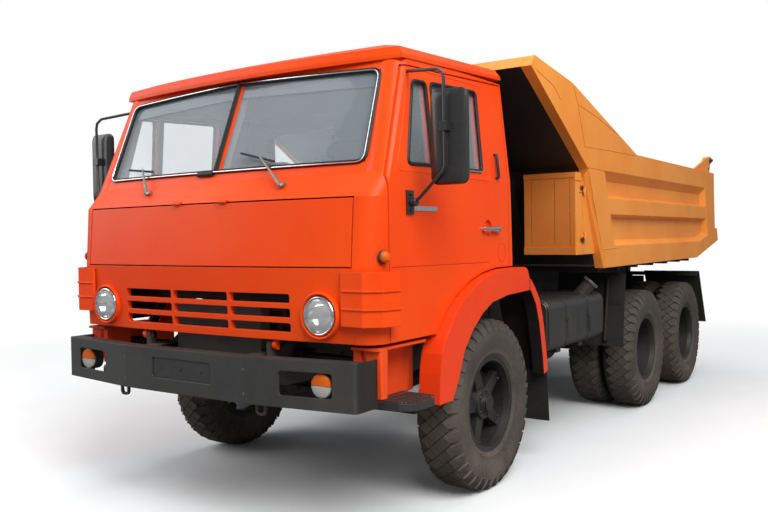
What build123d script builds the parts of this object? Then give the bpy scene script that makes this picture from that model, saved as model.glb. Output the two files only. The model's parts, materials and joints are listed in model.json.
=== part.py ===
from build123d import *
from math import atan2, cos, degrees, hypot, pi, radians, sin, sqrt, tan
import os

# Three-axle tipping truck with a tilting cab, a ladle bed and a telescopic hoist.
# Millimetres. +Z is up, the truck drives towards -Y and +X is its left, driver's side.
# The ground is Z = 0 and the origin is midway along the overall length.

# ---------------------------------------------------------------- driving dimensions
FRONT_AXLE_Y = -1926.0
WHEELBASE = 2840.0                      # front axle to first rear axle
BOGIE_SPACING = 1320.0
OVERALL_FRONT_Y = -3350.0
OVERALL_REAR_Y = 3350.0
REAR_AXLES_Y = (FRONT_AXLE_Y + WHEELBASE, FRONT_AXLE_Y + WHEELBASE + BOGIE_SPACING)
BOGIE_Y = FRONT_AXLE_Y + WHEELBASE + BOGIE_SPACING / 2

TYRE_RADIUS = 509.0
TYRE_WIDTH = 260.0
BEAD_RADIUS = 272.0
RIM_FLANGE_RADIUS = 294.0
RIM_HALF_WIDTH = 98.0
AXLE_Z = TYRE_RADIUS
FRONT_TRACK_X = 1007.0                  # middle of a front tyre
REAR_TRACK_X = 922.5                    # middle of a pair of twin tyres
TWIN_SPACING = 305.0
KINGPIN_X = 820.0
KINGPIN_RADIUS = 22.0

SEAT_GAP = 0.3                          # running clearance of pins, rods and seats
BODY_GAP = 8.0                          # least clearance between moving panels

RAIL_OUTER_X = 432.0
RAIL_WEB = 8.0
RAIL_FLANGE = 70.0
RAIL_TOP_Z = 1000.0
RAIL_BOTTOM_Z = 790.0
RAIL_NOSE_TOP_Z = 920.0                 # the rails step down under the cab's nose
RAIL_FRONT_Y = -3235.0
RAIL_STEP_Y = -3040.0
RAIL_REAR_Y = 2900.0
SUBFRAME_FRONT_Y = -800.0
SUBFRAME_REAR_Y = 2710.0
SUBFRAME_TOP_Z = 1100.0
SUBFRAME_WIDTH = 80.0

CAB_PIVOT_Y = -3146.0
CAB_PIVOT_Z = 970.0
CAB_PIVOT_X = 472.0
CAB_PIN_RADIUS = 15.0

BED_HINGE_Y = 2794.0
BED_HINGE_Z = 1100.0
BED_HALF_WIDTH = 1250.0


# ---------------------------------------------------------------- shared operations
def side_prism(points, x_start, x_end, mode=Mode.ADD):
    """Solid between two X stations with a closed side view of (y, z) points."""
    with BuildSketch(Plane.YZ.offset(x_start)) as outline:
        with BuildLine():
            Polyline(*points, close=True)
        make_face()
    extrude(outline.sketch, amount=x_end - x_start, mode=mode)


def front_prism(points, y_start, y_end, mode=Mode.ADD):
    """Solid between two Y stations with a closed front view of (x, z) points."""
    with BuildSketch(Plane.XZ.offset(-y_start)) as outline:
        with BuildLine():
            Polyline(*points, close=True)
        make_face()
    extrude(outline.sketch, amount=y_start - y_end, mode=mode)


def plan_prism(points, z_start, z_end, mode=Mode.ADD):
    """Solid between two heights with a closed plan of (x, y) points."""
    with BuildSketch(Plane.XY.offset(z_start)) as outline:
        with BuildLine():
            Polyline(*points, close=True)
        make_face()
    extrude(outline.sketch, amount=z_end - z_start, mode=mode)


def block(x_range, y_range, z_range, mode=Mode.ADD):
    """Box given by its low and high values on each axis."""
    centre = ((x_range[0] + x_range[1]) / 2, (y_range[0] + y_range[1]) / 2, (z_range[0] + z_range[1]) / 2)
    with Locations(centre):
        Box(x_range[1] - x_range[0], y_range[1] - y_range[0], z_range[1] - z_range[0], mode=mode)


def rod(start, end, radius, mode=Mode.ADD):
    """Round bar between two points."""
    axis = Vector(*end) - Vector(*start)
    with BuildSketch(Plane(origin=start, z_dir=axis)) as section:
        Circle(radius)
    extrude(section.sketch, amount=axis.length, mode=mode)


def write(builder, name):
    """Label a finished piece and write it as its own file."""
    builder.part.label = name
    os.makedirs("parts", exist_ok=True)
    export_step(builder.part, "parts/" + name + ".step")


# ================================================================ chassis (root body)
SUBFRAME_X = RAIL_OUTER_X - RAIL_FLANGE / 2
CROSS_MEMBERS = (                       # y, half depth along y, low z, high z
    (-3170.0, 30.0, 800.0, 905.0),
    (-850.0, 30.0, 850.0, 985.0),
    (120.0, 45.0, 790.0, 850.0),
    (BOGIE_Y - 170.0, 50.0, 830.0, 985.0),
    (BOGIE_Y + 170.0, 50.0, 830.0, 985.0),
    (2840.0, 50.0, 800.0, 985.0),
)
HOIST_BASE_Y = -700.0
HOIST_BASE_Z = 800.0
HOIST_TRUNNION_X = 150.0
HOIST_TRUNNION_RADIUS = 30.0
HINGE_EAR_THICKNESS = 24.0
HINGE_PIN_RADIUS = 25.0
TOW_EYE_RADIUS = 22.0
TOW_EYE_Y = 2990.0
TOW_EYE_Z = 880.0

with BuildPart() as chassis_frame:
    rail_outline = (
        (RAIL_FRONT_Y, RAIL_BOTTOM_Z),
        (RAIL_REAR_Y, RAIL_BOTTOM_Z),
        (RAIL_REAR_Y, RAIL_TOP_Z),
        (RAIL_STEP_Y + 120, RAIL_TOP_Z),
        (RAIL_STEP_Y, RAIL_NOSE_TOP_Z),
        (RAIL_FRONT_Y, RAIL_NOSE_TOP_Z),
    )
    side_prism(rail_outline, RAIL_OUTER_X - RAIL_FLANGE, RAIL_OUTER_X)
    pocket = (
        (RAIL_FRONT_Y - 1, RAIL_BOTTOM_Z + RAIL_WEB),
        (RAIL_REAR_Y + 1, RAIL_BOTTOM_Z + RAIL_WEB),
        (RAIL_REAR_Y + 1, RAIL_TOP_Z - RAIL_WEB),
        (RAIL_STEP_Y + 120, RAIL_TOP_Z - RAIL_WEB),
        (RAIL_STEP_Y, RAIL_NOSE_TOP_Z - RAIL_WEB),
        (RAIL_FRONT_Y - 1, RAIL_NOSE_TOP_Z - RAIL_WEB),
    )
    side_prism(pocket, RAIL_OUTER_X - RAIL_FLANGE - 1, RAIL_OUTER_X - RAIL_WEB, mode=Mode.SUBTRACT)
    # hoist frame on top of the rails
    block((SUBFRAME_X - SUBFRAME_WIDTH / 2, SUBFRAME_X + SUBFRAME_WIDTH / 2),
          (SUBFRAME_FRONT_Y, SUBFRAME_REAR_Y), (RAIL_TOP_Z, SUBFRAME_TOP_Z))
    # bed hinge ear, on the hoist frame's end
    block((SUBFRAME_X - HINGE_EAR_THICKNESS / 2, SUBFRAME_X + HINGE_EAR_THICKNESS / 2),
          (SUBFRAME_REAR_Y - 10, BED_HINGE_Y + 40), (RAIL_TOP_Z - 1, BED_HINGE_Z))
    with Locations(Location((SUBFRAME_X - HINGE_EAR_THICKNESS / 2, BED_HINGE_Y, BED_HINGE_Z), (0, 90, 0))):
        Cylinder(55, HINGE_EAR_THICKNESS, align=(Align.CENTER, Align.CENTER, Align.MIN))
    # cab pivot ear
    block((CAB_PIVOT_X - 14, CAB_PIVOT_X + 14), (CAB_PIVOT_Y - 26, CAB_PIVOT_Y + 26), (840, CAB_PIVOT_Z))
    with Locations(Location((CAB_PIVOT_X - 14, CAB_PIVOT_Y, CAB_PIVOT_Z), (0, 90, 0))):
        Cylinder(26, 28, align=(Align.CENTER, Align.CENTER, Align.MIN))
    block((RAIL_OUTER_X - 1, CAB_PIVOT_X + 14), (CAB_PIVOT_Y - 60, CAB_PIVOT_Y + 60), (830, 900))
    # hoist bearing plate hung inside the rail
    block((HOIST_TRUNNION_X + 1, RAIL_OUTER_X - RAIL_WEB), (HOIST_BASE_Y - 60, HOIST_BASE_Y + 60),
          (HOIST_BASE_Z - 60, RAIL_TOP_Z - 20))
    mirror(about=Plane.YZ)
    for y, half_depth, low, high in CROSS_MEMBERS:
        block((-RAIL_OUTER_X + RAIL_WEB, RAIL_OUTER_X - RAIL_WEB), (y - half_depth, y + half_depth), (low, high))
    # rear tow jaw
    block((-70, 70), (2889, TOW_EYE_Y), (TOW_EYE_Z - 60, TOW_EYE_Z - 35))
    block((-70, 70), (2889, TOW_EYE_Y), (TOW_EYE_Z + 35, TOW_EYE_Z + 60))
    with Locations((0, TOW_EYE_Y, TOW_EYE_Z - 60), (0, TOW_EYE_Y, TOW_EYE_Z + 35)):
        Cylinder(70, 25, align=(Align.CENTER, Align.CENTER, Align.MIN))
    with Locations((0, TOW_EYE_Y, TOW_EYE_Z)):
        Cylinder(TOW_EYE_RADIUS, 200, mode=Mode.SUBTRACT)
    # bores: cab pivots, hoist trunnions, bed hinge
    for y, z, radius in (
        (CAB_PIVOT_Y, CAB_PIVOT_Z, CAB_PIN_RADIUS),
        (HOIST_BASE_Y, HOIST_BASE_Z, HOIST_TRUNNION_RADIUS),
        (BED_HINGE_Y, BED_HINGE_Z, HINGE_PIN_RADIUS),
    ):
        with Locations(Location((0, y, z), (0, 90, 0))):
            Cylinder(radius + SEAT_GAP, 1200, mode=Mode.SUBTRACT)
write(chassis_frame, "chassis_frame")

# -------------------------------------------------- power unit
ENGINE_TOP_Z = 1360.0
ENGINE_FRONT_Y = -2880.0
ENGINE_REAR_Y = -1560.0
GEARBOX_REAR_Y = -900.0
PROP_SHAFT_Z = 620.0
with BuildPart() as engine:
    vee = ((-RAIL_OUTER_X + RAIL_FLANGE + 30, 700), (RAIL_OUTER_X - RAIL_FLANGE - 30, 700),
           (330, 1000), (330, ENGINE_TOP_Z - 60), (270, ENGINE_TOP_Z), (-270, ENGINE_TOP_Z),
           (-330, ENGINE_TOP_Z - 60), (-330, 1000))
    front_prism(vee, ENGINE_FRONT_Y, ENGINE_REAR_Y)
    front_prism(((-230, 560), (230, 560), (250, 900), (180, 980), (-180, 980), (-250, 900)),
                ENGINE_REAR_Y, GEARBOX_REAR_Y)
    # radiator and its two stays to the block
    block((-330, 330), (-3075, -3005), (720, 1150))
    for x in (-200, 200):
        block((x - 20, x + 20), (-3005, ENGINE_FRONT_Y), (760, 820))
    # rubber mounted feet on the rails' inner flanges
    for y in (-2600, -1700):
        block((-354, 354), (y - 50, y + 50), (800, 860))
        block((-RAIL_OUTER_X + RAIL_WEB, RAIL_OUTER_X - RAIL_WEB), (y - 50, y + 50), (810, 850))
write(engine, "engine")

# -------------------------------------------------- bumper
BUMPER_TOP_Z = 930.0
BUMPER_BOTTOM_Z = 694.0
BUMPER_PLATE = 10.0
BUMPER_DEPTH = 80.0
BUMPER_FLAT_X = 456.0
BUMPER_END_X = 1102.0
BUMPER_SWEEP = 87.0                     # the ends stand this far behind the middle
BUMPER_RETURN = 170.0
BUMPER_CORNER = 28.0
WINDOW_X = (670.0, 971.0)
WINDOW_Z = (754.0, 875.0)
WINDOW_CORNER = 16.0
RECESS_HALF_WIDTH = 227.0
RECESS_Z = (767.0, 879.0)
RECESS_DEPTH = 6.0
BUMPER_STAY_X = 395.0
TOW_LOOP_X = 530.0
TOW_LOOP_Y = -3300.0
TOW_LOOP_Z = 672.0

bumper_end_y = OVERALL_FRONT_Y + BUMPER_SWEEP
with BuildPart() as bumper:
    bumper_back_y = bumper_end_y + BUMPER_RETURN
    with BuildSketch(Plane.XY.offset(BUMPER_BOTTOM_Z)) as bow:
        with BuildLine():
            Polyline((-BUMPER_END_X, bumper_back_y), (-BUMPER_END_X, bumper_end_y),
                     (-BUMPER_FLAT_X, OVERALL_FRONT_Y), (BUMPER_FLAT_X, OVERALL_FRONT_Y),
                     (BUMPER_END_X, bumper_end_y), (BUMPER_END_X, bumper_back_y), close=True)
        make_face()
        outer_corners = bow.vertices().group_by(Axis.Y)[-2]
        fillet(outer_corners, BUMPER_CORNER)
    extrude(bow.sketch, amount=BUMPER_TOP_Z - BUMPER_BOTTOM_Z)
    with BuildSketch(Plane.XY.offset(BUMPER_BOTTOM_Z + BUMPER_PLATE)) as bow_inside:
        add(bow.sketch.moved(Location((0, 0, BUMPER_PLATE))))
        offset(amount=-BUMPER_PLATE, mode=Mode.REPLACE)
    extrude(bow_inside.sketch, amount=BUMPER_TOP_Z - BUMPER_BOTTOM_Z - 2 * BUMPER_PLATE, mode=Mode.SUBTRACT)
    behind = ((-BUMPER_END_X + BUMPER_PLATE, bumper_end_y + BUMPER_DEPTH),
              (-BUMPER_FLAT_X, OVERALL_FRONT_Y + BUMPER_DEPTH), (BUMPER_FLAT_X, OVERALL_FRONT_Y + BUMPER_DEPTH),
              (BUMPER_END_X - BUMPER_PLATE, bumper_end_y + BUMPER_DEPTH),
              (BUMPER_END_X - BUMPER_PLATE, bumper_back_y + 1), (-BUMPER_END_X + BUMPER_PLATE, bumper_back_y + 1))
    plan_prism(behind, BUMPER_BOTTOM_Z - 1, BUMPER_TOP_Z + 1, mode=Mode.SUBTRACT)
    # lamp windows through the plate and a shallow plate recess in the middle
    window_centre_x = (WINDOW_X[0] + WINDOW_X[1]) / 2
    window_centre_z = (WINDOW_Z[0] + WINDOW_Z[1]) / 2
    with BuildSketch(Plane.XZ.offset(-OVERALL_FRONT_Y + 1)) as windows:
        with Locations((window_centre_x, window_centre_z), (-window_centre_x, window_centre_z)):
            RectangleRounded(WINDOW_X[1] - WINDOW_X[0], WINDOW_Z[1] - WINDOW_Z[0], WINDOW_CORNER)
    extrude(windows.sketch, amount=-BUMPER_SWEEP - 40, mode=Mode.SUBTRACT)
    with BuildSketch(Plane.XZ.offset(-OVERALL_FRONT_Y)) as recess:
        with Locations((0, (RECESS_Z[0] + RECESS_Z[1]) / 2)):
            RectangleRounded(2 * RECESS_HALF_WIDTH, RECESS_Z[1] - RECESS_Z[0], WINDOW_CORNER)
    extrude(recess.sketch, amount=-RECESS_DEPTH, mode=Mode.SUBTRACT)
    # stays back to the rail noses, and the two tow loops below the plate
    for side in (-1, 1):
        inner, outer = sorted((side * (BUMPER_STAY_X - 30), side * (BUMPER_STAY_X + 30)))
        block((inner, outer), (OVERALL_FRONT_Y + BUMPER_PLATE, RAIL_FRONT_Y - SEAT_GAP), (800, 900))
        with BuildSketch(Plane.XZ.offset(-TOW_LOOP_Y)) as loop:
            with Locations((side * TOW_LOOP_X, TOW_LOOP_Z)):
                RectangleRounded(70, 78, 24)
                RectangleRounded(42, 50, 14, mode=Mode.SUBTRACT)
        extrude(loop.sketch, amount=-14)
write(bumper, "bumper")

# -------------------------------------------------- front axle and leaf springs
BEAM_Z = 440.0
SPRING_X = 397.0
SPRING_SEAT_Z = 500.0
FORK_GAP = 0.3
AXLE_EYE_HALF_HEIGHT = 48.0
with BuildPart() as front_axle:
    beam = ((-KINGPIN_X, AXLE_Z - 30), (-KINGPIN_X + 110, AXLE_Z - 30), (-KINGPIN_X + 230, BEAM_Z - 45),
            (KINGPIN_X - 230, BEAM_Z - 45), (KINGPIN_X - 110, AXLE_Z - 30), (KINGPIN_X, AXLE_Z - 30),
            (KINGPIN_X, AXLE_Z + 30), (KINGPIN_X - 130, AXLE_Z + 30), (KINGPIN_X - 260, BEAM_Z + 50),
            (-KINGPIN_X + 260, BEAM_Z + 50), (-KINGPIN_X + 130, AXLE_Z + 30), (-KINGPIN_X, AXLE_Z + 30))
    front_prism(beam, FRONT_AXLE_Y - 45, FRONT_AXLE_Y + 45)
    with Locations((-KINGPIN_X, FRONT_AXLE_Y, AXLE_Z), (KINGPIN_X, FRONT_AXLE_Y, AXLE_Z)):
        Cylinder(45, 2 * AXLE_EYE_HALF_HEIGHT)
        Cylinder(KINGPIN_RADIUS + SEAT_GAP, 300, mode=Mode.SUBTRACT)
    for side in (-1, 1):
        low, high = sorted((side * (SPRING_X - 45), side * (SPRING_X + 45)))
        block((low, high), (FRONT_AXLE_Y - 80, FRONT_AXLE_Y + 80), (BEAM_Z + 30, SPRING_SEAT_Z))
write(front_axle, "front_axle")

LEAF_THICKNESS = 12.0
REAR_SPRING_X = 510.0
REAR_SPRING_Z = 676.0
with BuildPart() as leaf_springs:
    # front packs: each leaf an arc, shorter ones below; shackles up to the rails
    for side in (-1, 1):
        low, high = sorted((side * (SPRING_X - 40), side * (SPRING_X + 40)))
        for index, half_length in enumerate((700.0, 620.0, 520.0, 400.0, 260.0, 150.0)):
            top = SPRING_SEAT_Z + LEAF_THICKNESS * (6 - index)
            rise = 110.0 * (half_length / 700.0) ** 2
            with BuildSketch(Plane.YZ.offset(low)) as leaf:
                with BuildLine():
                    upper = ThreePointArc((FRONT_AXLE_Y - half_length, top + rise), (FRONT_AXLE_Y, top),
                                          (FRONT_AXLE_Y + half_length, top + rise))
                    lower = ThreePointArc((FRONT_AXLE_Y - half_length, top + rise - LEAF_THICKNESS),
                                          (FRONT_AXLE_Y, top - LEAF_THICKNESS),
                                          (FRONT_AXLE_Y + half_length, top + rise - LEAF_THICKNESS))
                    Line(upper @ 0, lower @ 0)
                    Line(upper @ 1, lower @ 1)
                make_face()
            extrude(leaf.sketch, amount=high - low)
        for y in (FRONT_AXLE_Y - 690, FRONT_AXLE_Y + 690):
            block((low, high), (y - 25, y + 25), (SPRING_SEAT_Z + 150, RAIL_BOTTOM_Z))
        block((low, high), (FRONT_AXLE_Y - 60, FRONT_AXLE_Y + 60), (SPRING_SEAT_Z + 72, SPRING_SEAT_Z + 90))
    # rear packs rock on the bogie's trunnion and reach both rear axles
    for side in (-1, 1):
        low, high = sorted((side * (REAR_SPRING_X - 45), side * (REAR_SPRING_X + 45)))
        for index in range(7):
            half_length = BOGIE_SPACING / 2 + 60 - 85.0 * index
            top = REAR_SPRING_Z + LEAF_THICKNESS * (index + 1)
            droop = 90.0 * (half_length / (BOGIE_SPACING / 2)) ** 2
            with BuildSketch(Plane.YZ.offset(low)) as leaf:
                with BuildLine():
                    upper = ThreePointArc((BOGIE_Y - half_length, top - droop), (BOGIE_Y, top),
                                          (BOGIE_Y + half_length, top - droop))
                    lower = ThreePointArc((BOGIE_Y - half_length, top - droop - LEAF_THICKNESS),
                                          (BOGIE_Y, top - LEAF_THICKNESS),
                                          (BOGIE_Y + half_length, top - droop - LEAF_THICKNESS))
                    Line(upper @ 0, lower @ 0)
                    Line(upper @ 1, lower @ 1)
                make_face()
            extrude(leaf.sketch, amount=high - low)
        block((low, high), (BOGIE_Y - 90, BOGIE_Y + 90), (470, REAR_SPRING_Z))
    with Locations(Location((0, BOGIE_Y, 520), (0, 90, 0))):
        Cylinder(50, 2 * REAR_SPRING_X + 90)
    for side in (-1, 1):
        low, high = sorted((side * (RAIL_OUTER_X - RAIL_FLANGE), side * RAIL_OUTER_X))
        side_prism(((BOGIE_Y - 60, 480), (BOGIE_Y + 60, 480), (BOGIE_Y + 160, RAIL_BOTTOM_Z),
                    (BOGIE_Y - 160, RAIL_BOTTOM_Z)), low, high)
write(leaf_springs, "leaf_springs")

# -------------------------------------------------- rear axles and shafts
AXLE_TUBE_RADIUS = 58.0
AXLE_TUBE_END_X = 610.0
SPINDLE_RADIUS = 42.0
BANJO_RADIUS = 190.0
SHAFT_RADIUS = 38.0
BETWEEN_SHAFT_Z = 640.0
SPRING_PAD_Z = REAR_SPRING_Z - 107.5
REAR_SPINDLE_END_X = 1000.0
with BuildPart() as driveline:
    for y in REAR_AXLES_Y:
        with Locations(Location((0, y, AXLE_Z), (0, 90, 0))):
            Cylinder(AXLE_TUBE_RADIUS, 2 * AXLE_TUBE_END_X)
            Cylinder(SPINDLE_RADIUS, 2 * REAR_SPINDLE_END_X)
            Cylinder(BANJO_RADIUS, 150)
        with Locations((0, y, AXLE_Z)):
            Cone(BANJO_RADIUS * 0.75, 90, 240, rotation=(90, 0, 0))
        for side in (-1, 1):
            low, high = sorted((side * (REAR_SPRING_X - 50), side * (REAR_SPRING_X + 50)))
            block((low, high), (y - 60, y + 60), (AXLE_Z, SPRING_PAD_Z))
            with Locations(Location((side * (AXLE_TUBE_END_X - 6), y, AXLE_Z), (0, 90, 0))):
                Cylinder(200, 12)
    rod((0, GEARBOX_REAR_Y + 1, PROP_SHAFT_Z), (0, REAR_AXLES_Y[0] - 100, PROP_SHAFT_Z - 20), SHAFT_RADIUS)
    rod((0, REAR_AXLES_Y[0] + 60, BETWEEN_SHAFT_Z), (0, REAR_AXLES_Y[1] - 60, BETWEEN_SHAFT_Z), SHAFT_RADIUS)
write(driveline, "driveline")

# ================================================================ knuckles and wheels
SPINDLE_END_X = FRONT_TRACK_X + 40
BACKING_X = 878.0
FORK_ARM = 40.0
for side, name in ((1, "left"), (-1, "right")):
    with BuildPart() as knuckle:
        for level in (-1, 1):
            low, high = sorted((level * (AXLE_EYE_HALF_HEIGHT + SEAT_GAP),
                                level * (AXLE_EYE_HALF_HEIGHT + FORK_ARM)))
            inner, outer = sorted((side * KINGPIN_X, side * (BACKING_X + 5)))
            block((inner, outer), (FRONT_AXLE_Y - 42, FRONT_AXLE_Y + 42), (AXLE_Z + low, AXLE_Z + high))
            with Locations((side * KINGPIN_X, FRONT_AXLE_Y, AXLE_Z + (low + high) / 2)):
                Cylinder(42, high - low)
        inner, outer = sorted((side * (KINGPIN_X + 51), side * (BACKING_X + 5)))
        block((inner, outer), (FRONT_AXLE_Y - 42, FRONT_AXLE_Y + 42), (AXLE_Z - 60, AXLE_Z + 60))
        with Locations((side * KINGPIN_X, FRONT_AXLE_Y, AXLE_Z)):
            Cylinder(KINGPIN_RADIUS, 2 * (AXLE_EYE_HALF_HEIGHT + FORK_ARM))
        with Locations(Location((side * (BACKING_X + 5), FRONT_AXLE_Y, AXLE_Z), (0, 90, 0))):
            Cylinder(200, 10)
        rod((side * BACKING_X, FRONT_AXLE_Y, AXLE_Z), (side * SPINDLE_END_X, FRONT_AXLE_Y, AXLE_Z), SPINDLE_RADIUS)
        # steering arm, back and inwards from the lower fork
        rod((side * (BACKING_X - 20), FRONT_AXLE_Y + 30, AXLE_Z - 75),
            (side * (KINGPIN_X - 60), FRONT_AXLE_Y + 170, AXLE_Z - 75), 16)
    write(knuckle, "knuckle_" + name)


def spun(points, y, mode=Mode.ADD):
    """Ring turned about a wheel's axis from (x, radius) points."""
    with BuildSketch(Plane.XZ.offset(-y)) as section:
        with BuildLine():
            Polyline(*[(x, AXLE_Z + radius) for x, radius in points], close=True)
        make_face()
    revolve(section.sketch, axis=Axis((0, y, AXLE_Z), (1, 0, 0)), mode=mode)


SHOULDER_X = 104.0
BEAD_HALF_WIDTH = RIM_HALF_WIDTH - 10.3


def tyre(x, y):
    """Tyre section: bead, sidewall bulge, square shoulder and a nearly flat crown."""
    half = (
        (BEAD_HALF_WIDTH, BEAD_RADIUS),
        (BEAD_HALF_WIDTH, RIM_FLANGE_RADIUS + 4),
        (0.44 * TYRE_WIDTH, RIM_FLANGE_RADIUS + 38),
        (0.5 * TYRE_WIDTH, RIM_FLANGE_RADIUS + 100),
        (0.47 * TYRE_WIDTH, TYRE_RADIUS - 55),
        (SHOULDER_X, TYRE_RADIUS - 16),
        (SHOULDER_X - 20, TYRE_RADIUS - 3),
        (0.15 * TYRE_WIDTH, TYRE_RADIUS),
    )
    ring = [(x + dx, radius) for dx, radius in half] + [(x - dx, radius) for dx, radius in reversed(half)]
    spun(ring, y)


def rim(x, y):
    """Rim barrel with a flange at each edge."""
    edge = RIM_HALF_WIDTH
    seat = BEAD_RADIUS - SEAT_GAP
    half = ((edge - 10, seat), (edge - 10, RIM_FLANGE_RADIUS), (edge, RIM_FLANGE_RADIUS), (edge, 258), (60, 250))
    ring = [(x + dx, radius) for dx, radius in half] + [(x - dx, radius) for dx, radius in reversed(half)]
    spun(ring, y)


SPIDER_LEGS = 5


def spider(x, y, side, leg_low, leg_high):
    """Cast hub with five tapered legs out to the rim's barrel."""
    for index in range(SPIDER_LEGS):
        turn = 360.0 / SPIDER_LEGS * index
        with BuildSketch(Plane(origin=(x + side * leg_low, y, AXLE_Z), z_dir=(side, 0, 0))) as leg:
            with BuildLine():
                inner = [(70, -42), (252, -30), (252, 30), (70, 42)]
                spread = radians(turn + 90)
                Polyline(*[(u * cos(spread) - v * sin(spread), u * sin(spread) + v * cos(spread))
                           for u, v in inner], close=True)
            make_face()
        extrude(leg.sketch, amount=leg_high - leg_low)


DRUM_RADIUS = 208.0
for side, name in ((1, "left"), (-1, "right")):
    x = side * FRONT_TRACK_X
    with BuildPart() as front_tyre:
        tyre(x, FRONT_AXLE_Y)
    write(front_tyre, "front_tyre_" + name)
    with BuildPart() as front_hub:
        rim(x, FRONT_AXLE_Y)
        bore = SPINDLE_RADIUS + SEAT_GAP
        spun([(x - side * 113, bore), (x - side * 113, DRUM_RADIUS), (x - side * 20, DRUM_RADIUS),
              (x - side * 12, 110), (x + side * 60, 92), (x + side * 66, 52), (x + side * 92, 50),
              (x + side * 96, 40), (x + side * 96, 1), (x + side * 45, 1), (x + side * 45, bore)], FRONT_AXLE_Y)
        spider(x, FRONT_AXLE_Y, side, -18, 42)
    write(front_hub, "front_hub_" + name)
    for number, y in enumerate(REAR_AXLES_Y, start=1):
        tyre_centres = [side * (REAR_TRACK_X + offset_x) for offset_x in (-TWIN_SPACING / 2, TWIN_SPACING / 2)]
        with BuildPart() as rear_tyres:
            for centre in tyre_centres:
                tyre(centre, y)
        write(rear_tyres, "rear_tyres_" + name + "_" + str(number))
        with BuildPart() as rear_wheel:
            for centre in tyre_centres:
                rim(centre, y)
            # spacer band between the rims, brake drum and hub
            middle = side * REAR_TRACK_X
            half_gap = TWIN_SPACING / 2 - RIM_HALF_WIDTH
            spun([(middle - half_gap, 248), (middle + half_gap, 248), (middle + half_gap, 280),
                  (middle - half_gap, 280)], y)
            start = side * (AXLE_TUBE_END_X + 8)
            spun([(start, bore), (start, DRUM_RADIUS), (start + side * 130, DRUM_RADIUS),
                  (start + side * 140, 120), (middle + side * 120, 105), (middle + side * 126, 70),
                  (middle + side * 126, 1), (side * (REAR_SPINDLE_END_X + 5), 1),
                  (side * (REAR_SPINDLE_END_X + 5), bore)], y)
            spider(middle, y, side, -30, 30)
        write(rear_wheel, "rear_wheel_" + name + "_" + str(number))

# ================================================================ side equipment (root body)
TANK_X = (690.0, 1150.0)
TANK_Y = (-1156.0, -96.0)
TANK_Z = (715.0, 1074.0)
TANK_CORNER = 70.0
STRAP_Y = (-820.0, -400.0)
STRAP_THICKNESS = 5.0
with BuildPart() as fuel_tank:
    with BuildSketch(Plane.XZ.offset(-TANK_Y[0])) as tank_section:
        with Locations(((TANK_X[0] + TANK_X[1]) / 2, (TANK_Z[0] + TANK_Z[1]) / 2)):
            RectangleRounded(TANK_X[1] - TANK_X[0], TANK_Z[1] - TANK_Z[0], TANK_CORNER)
    extrude(tank_section.sketch, amount=TANK_Y[0] - TANK_Y[1])
    chamfer(fuel_tank.faces().sort_by(Axis.Y)[0].edges() + fuel_tank.faces().sort_by(Axis.Y)[-1].edges(), 18)
    # slanted filler neck with its cap
    neck_start = (TANK_X[1] - 110, -370, TANK_Z[1] - 40)
    neck_end = (TANK_X[1] - 20, -330, TANK_Z[1] + 70)
    rod(neck_start, neck_end, 50)
    neck_axis = (Vector(*neck_end) - Vector(*neck_start)).normalized()
    cap_end = Vector(*neck_end) + neck_axis * 22
    rod(neck_end, (cap_end.X, cap_end.Y, cap_end.Z), 58)
    # straps round the tank, down to the two carrying brackets from the rail
    for y in STRAP_Y:
        with BuildSketch(Plane.XZ.offset(-y + 25)) as strap:
            with Locations(((TANK_X[0] + TANK_X[1]) / 2, (TANK_Z[0] + TANK_Z[1]) / 2)):
                RectangleRounded(TANK_X[1] - TANK_X[0] + 2 * STRAP_THICKNESS,
                                 TANK_Z[1] - TANK_Z[0] + 2 * STRAP_THICKNESS, TANK_CORNER + STRAP_THICKNESS)
        extrude(strap.sketch, amount=-50)
        front_prism(((RAIL_OUTER_X + SEAT_GAP, 820), (RAIL_OUTER_X + SEAT_GAP, 960), (TANK_X[0] - 4, 960),
                     (TANK_X[0] - 4, TANK_Z[0] - 4), (TANK_X[1] - 70, TANK_Z[0] - 4),
                     (TANK_X[1] - 70, TANK_Z[0] - 36), (TANK_X[0] - 40, TANK_Z[0] - 36)), y - 35, y + 35)
write(fuel_tank, "fuel_tank")

BATTERY_X = (-1150.0, -640.0)
BATTERY_Y = (-1050.0, -500.0)
BATTERY_Z = (700.0, 1040.0)
with BuildPart() as battery_box:
    block(BATTERY_X, BATTERY_Y, BATTERY_Z)
    fillet(battery_box.edges().filter_by(Axis.Y), 20)
    lid = ((BATTERY_X[0] - 8, BATTERY_Z[1] - 90), (BATTERY_X[1] + 8, BATTERY_Z[1] - 90),
           (BATTERY_X[1] + 8, BATTERY_Z[1] + 12), (BATTERY_X[0] - 8, BATTERY_Z[1] + 12))
    front_prism(lid, BATTERY_Y[0] - 8, BATTERY_Y[1] + 8)
    for y in (BATTERY_Y[0] + 120, BATTERY_Y[1] - 120):
        block((BATTERY_X[1] - 10, -RAIL_OUTER_X - SEAT_GAP), (y - 35, y + 35), (820, 900))
write(battery_box, "battery_box")

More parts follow.
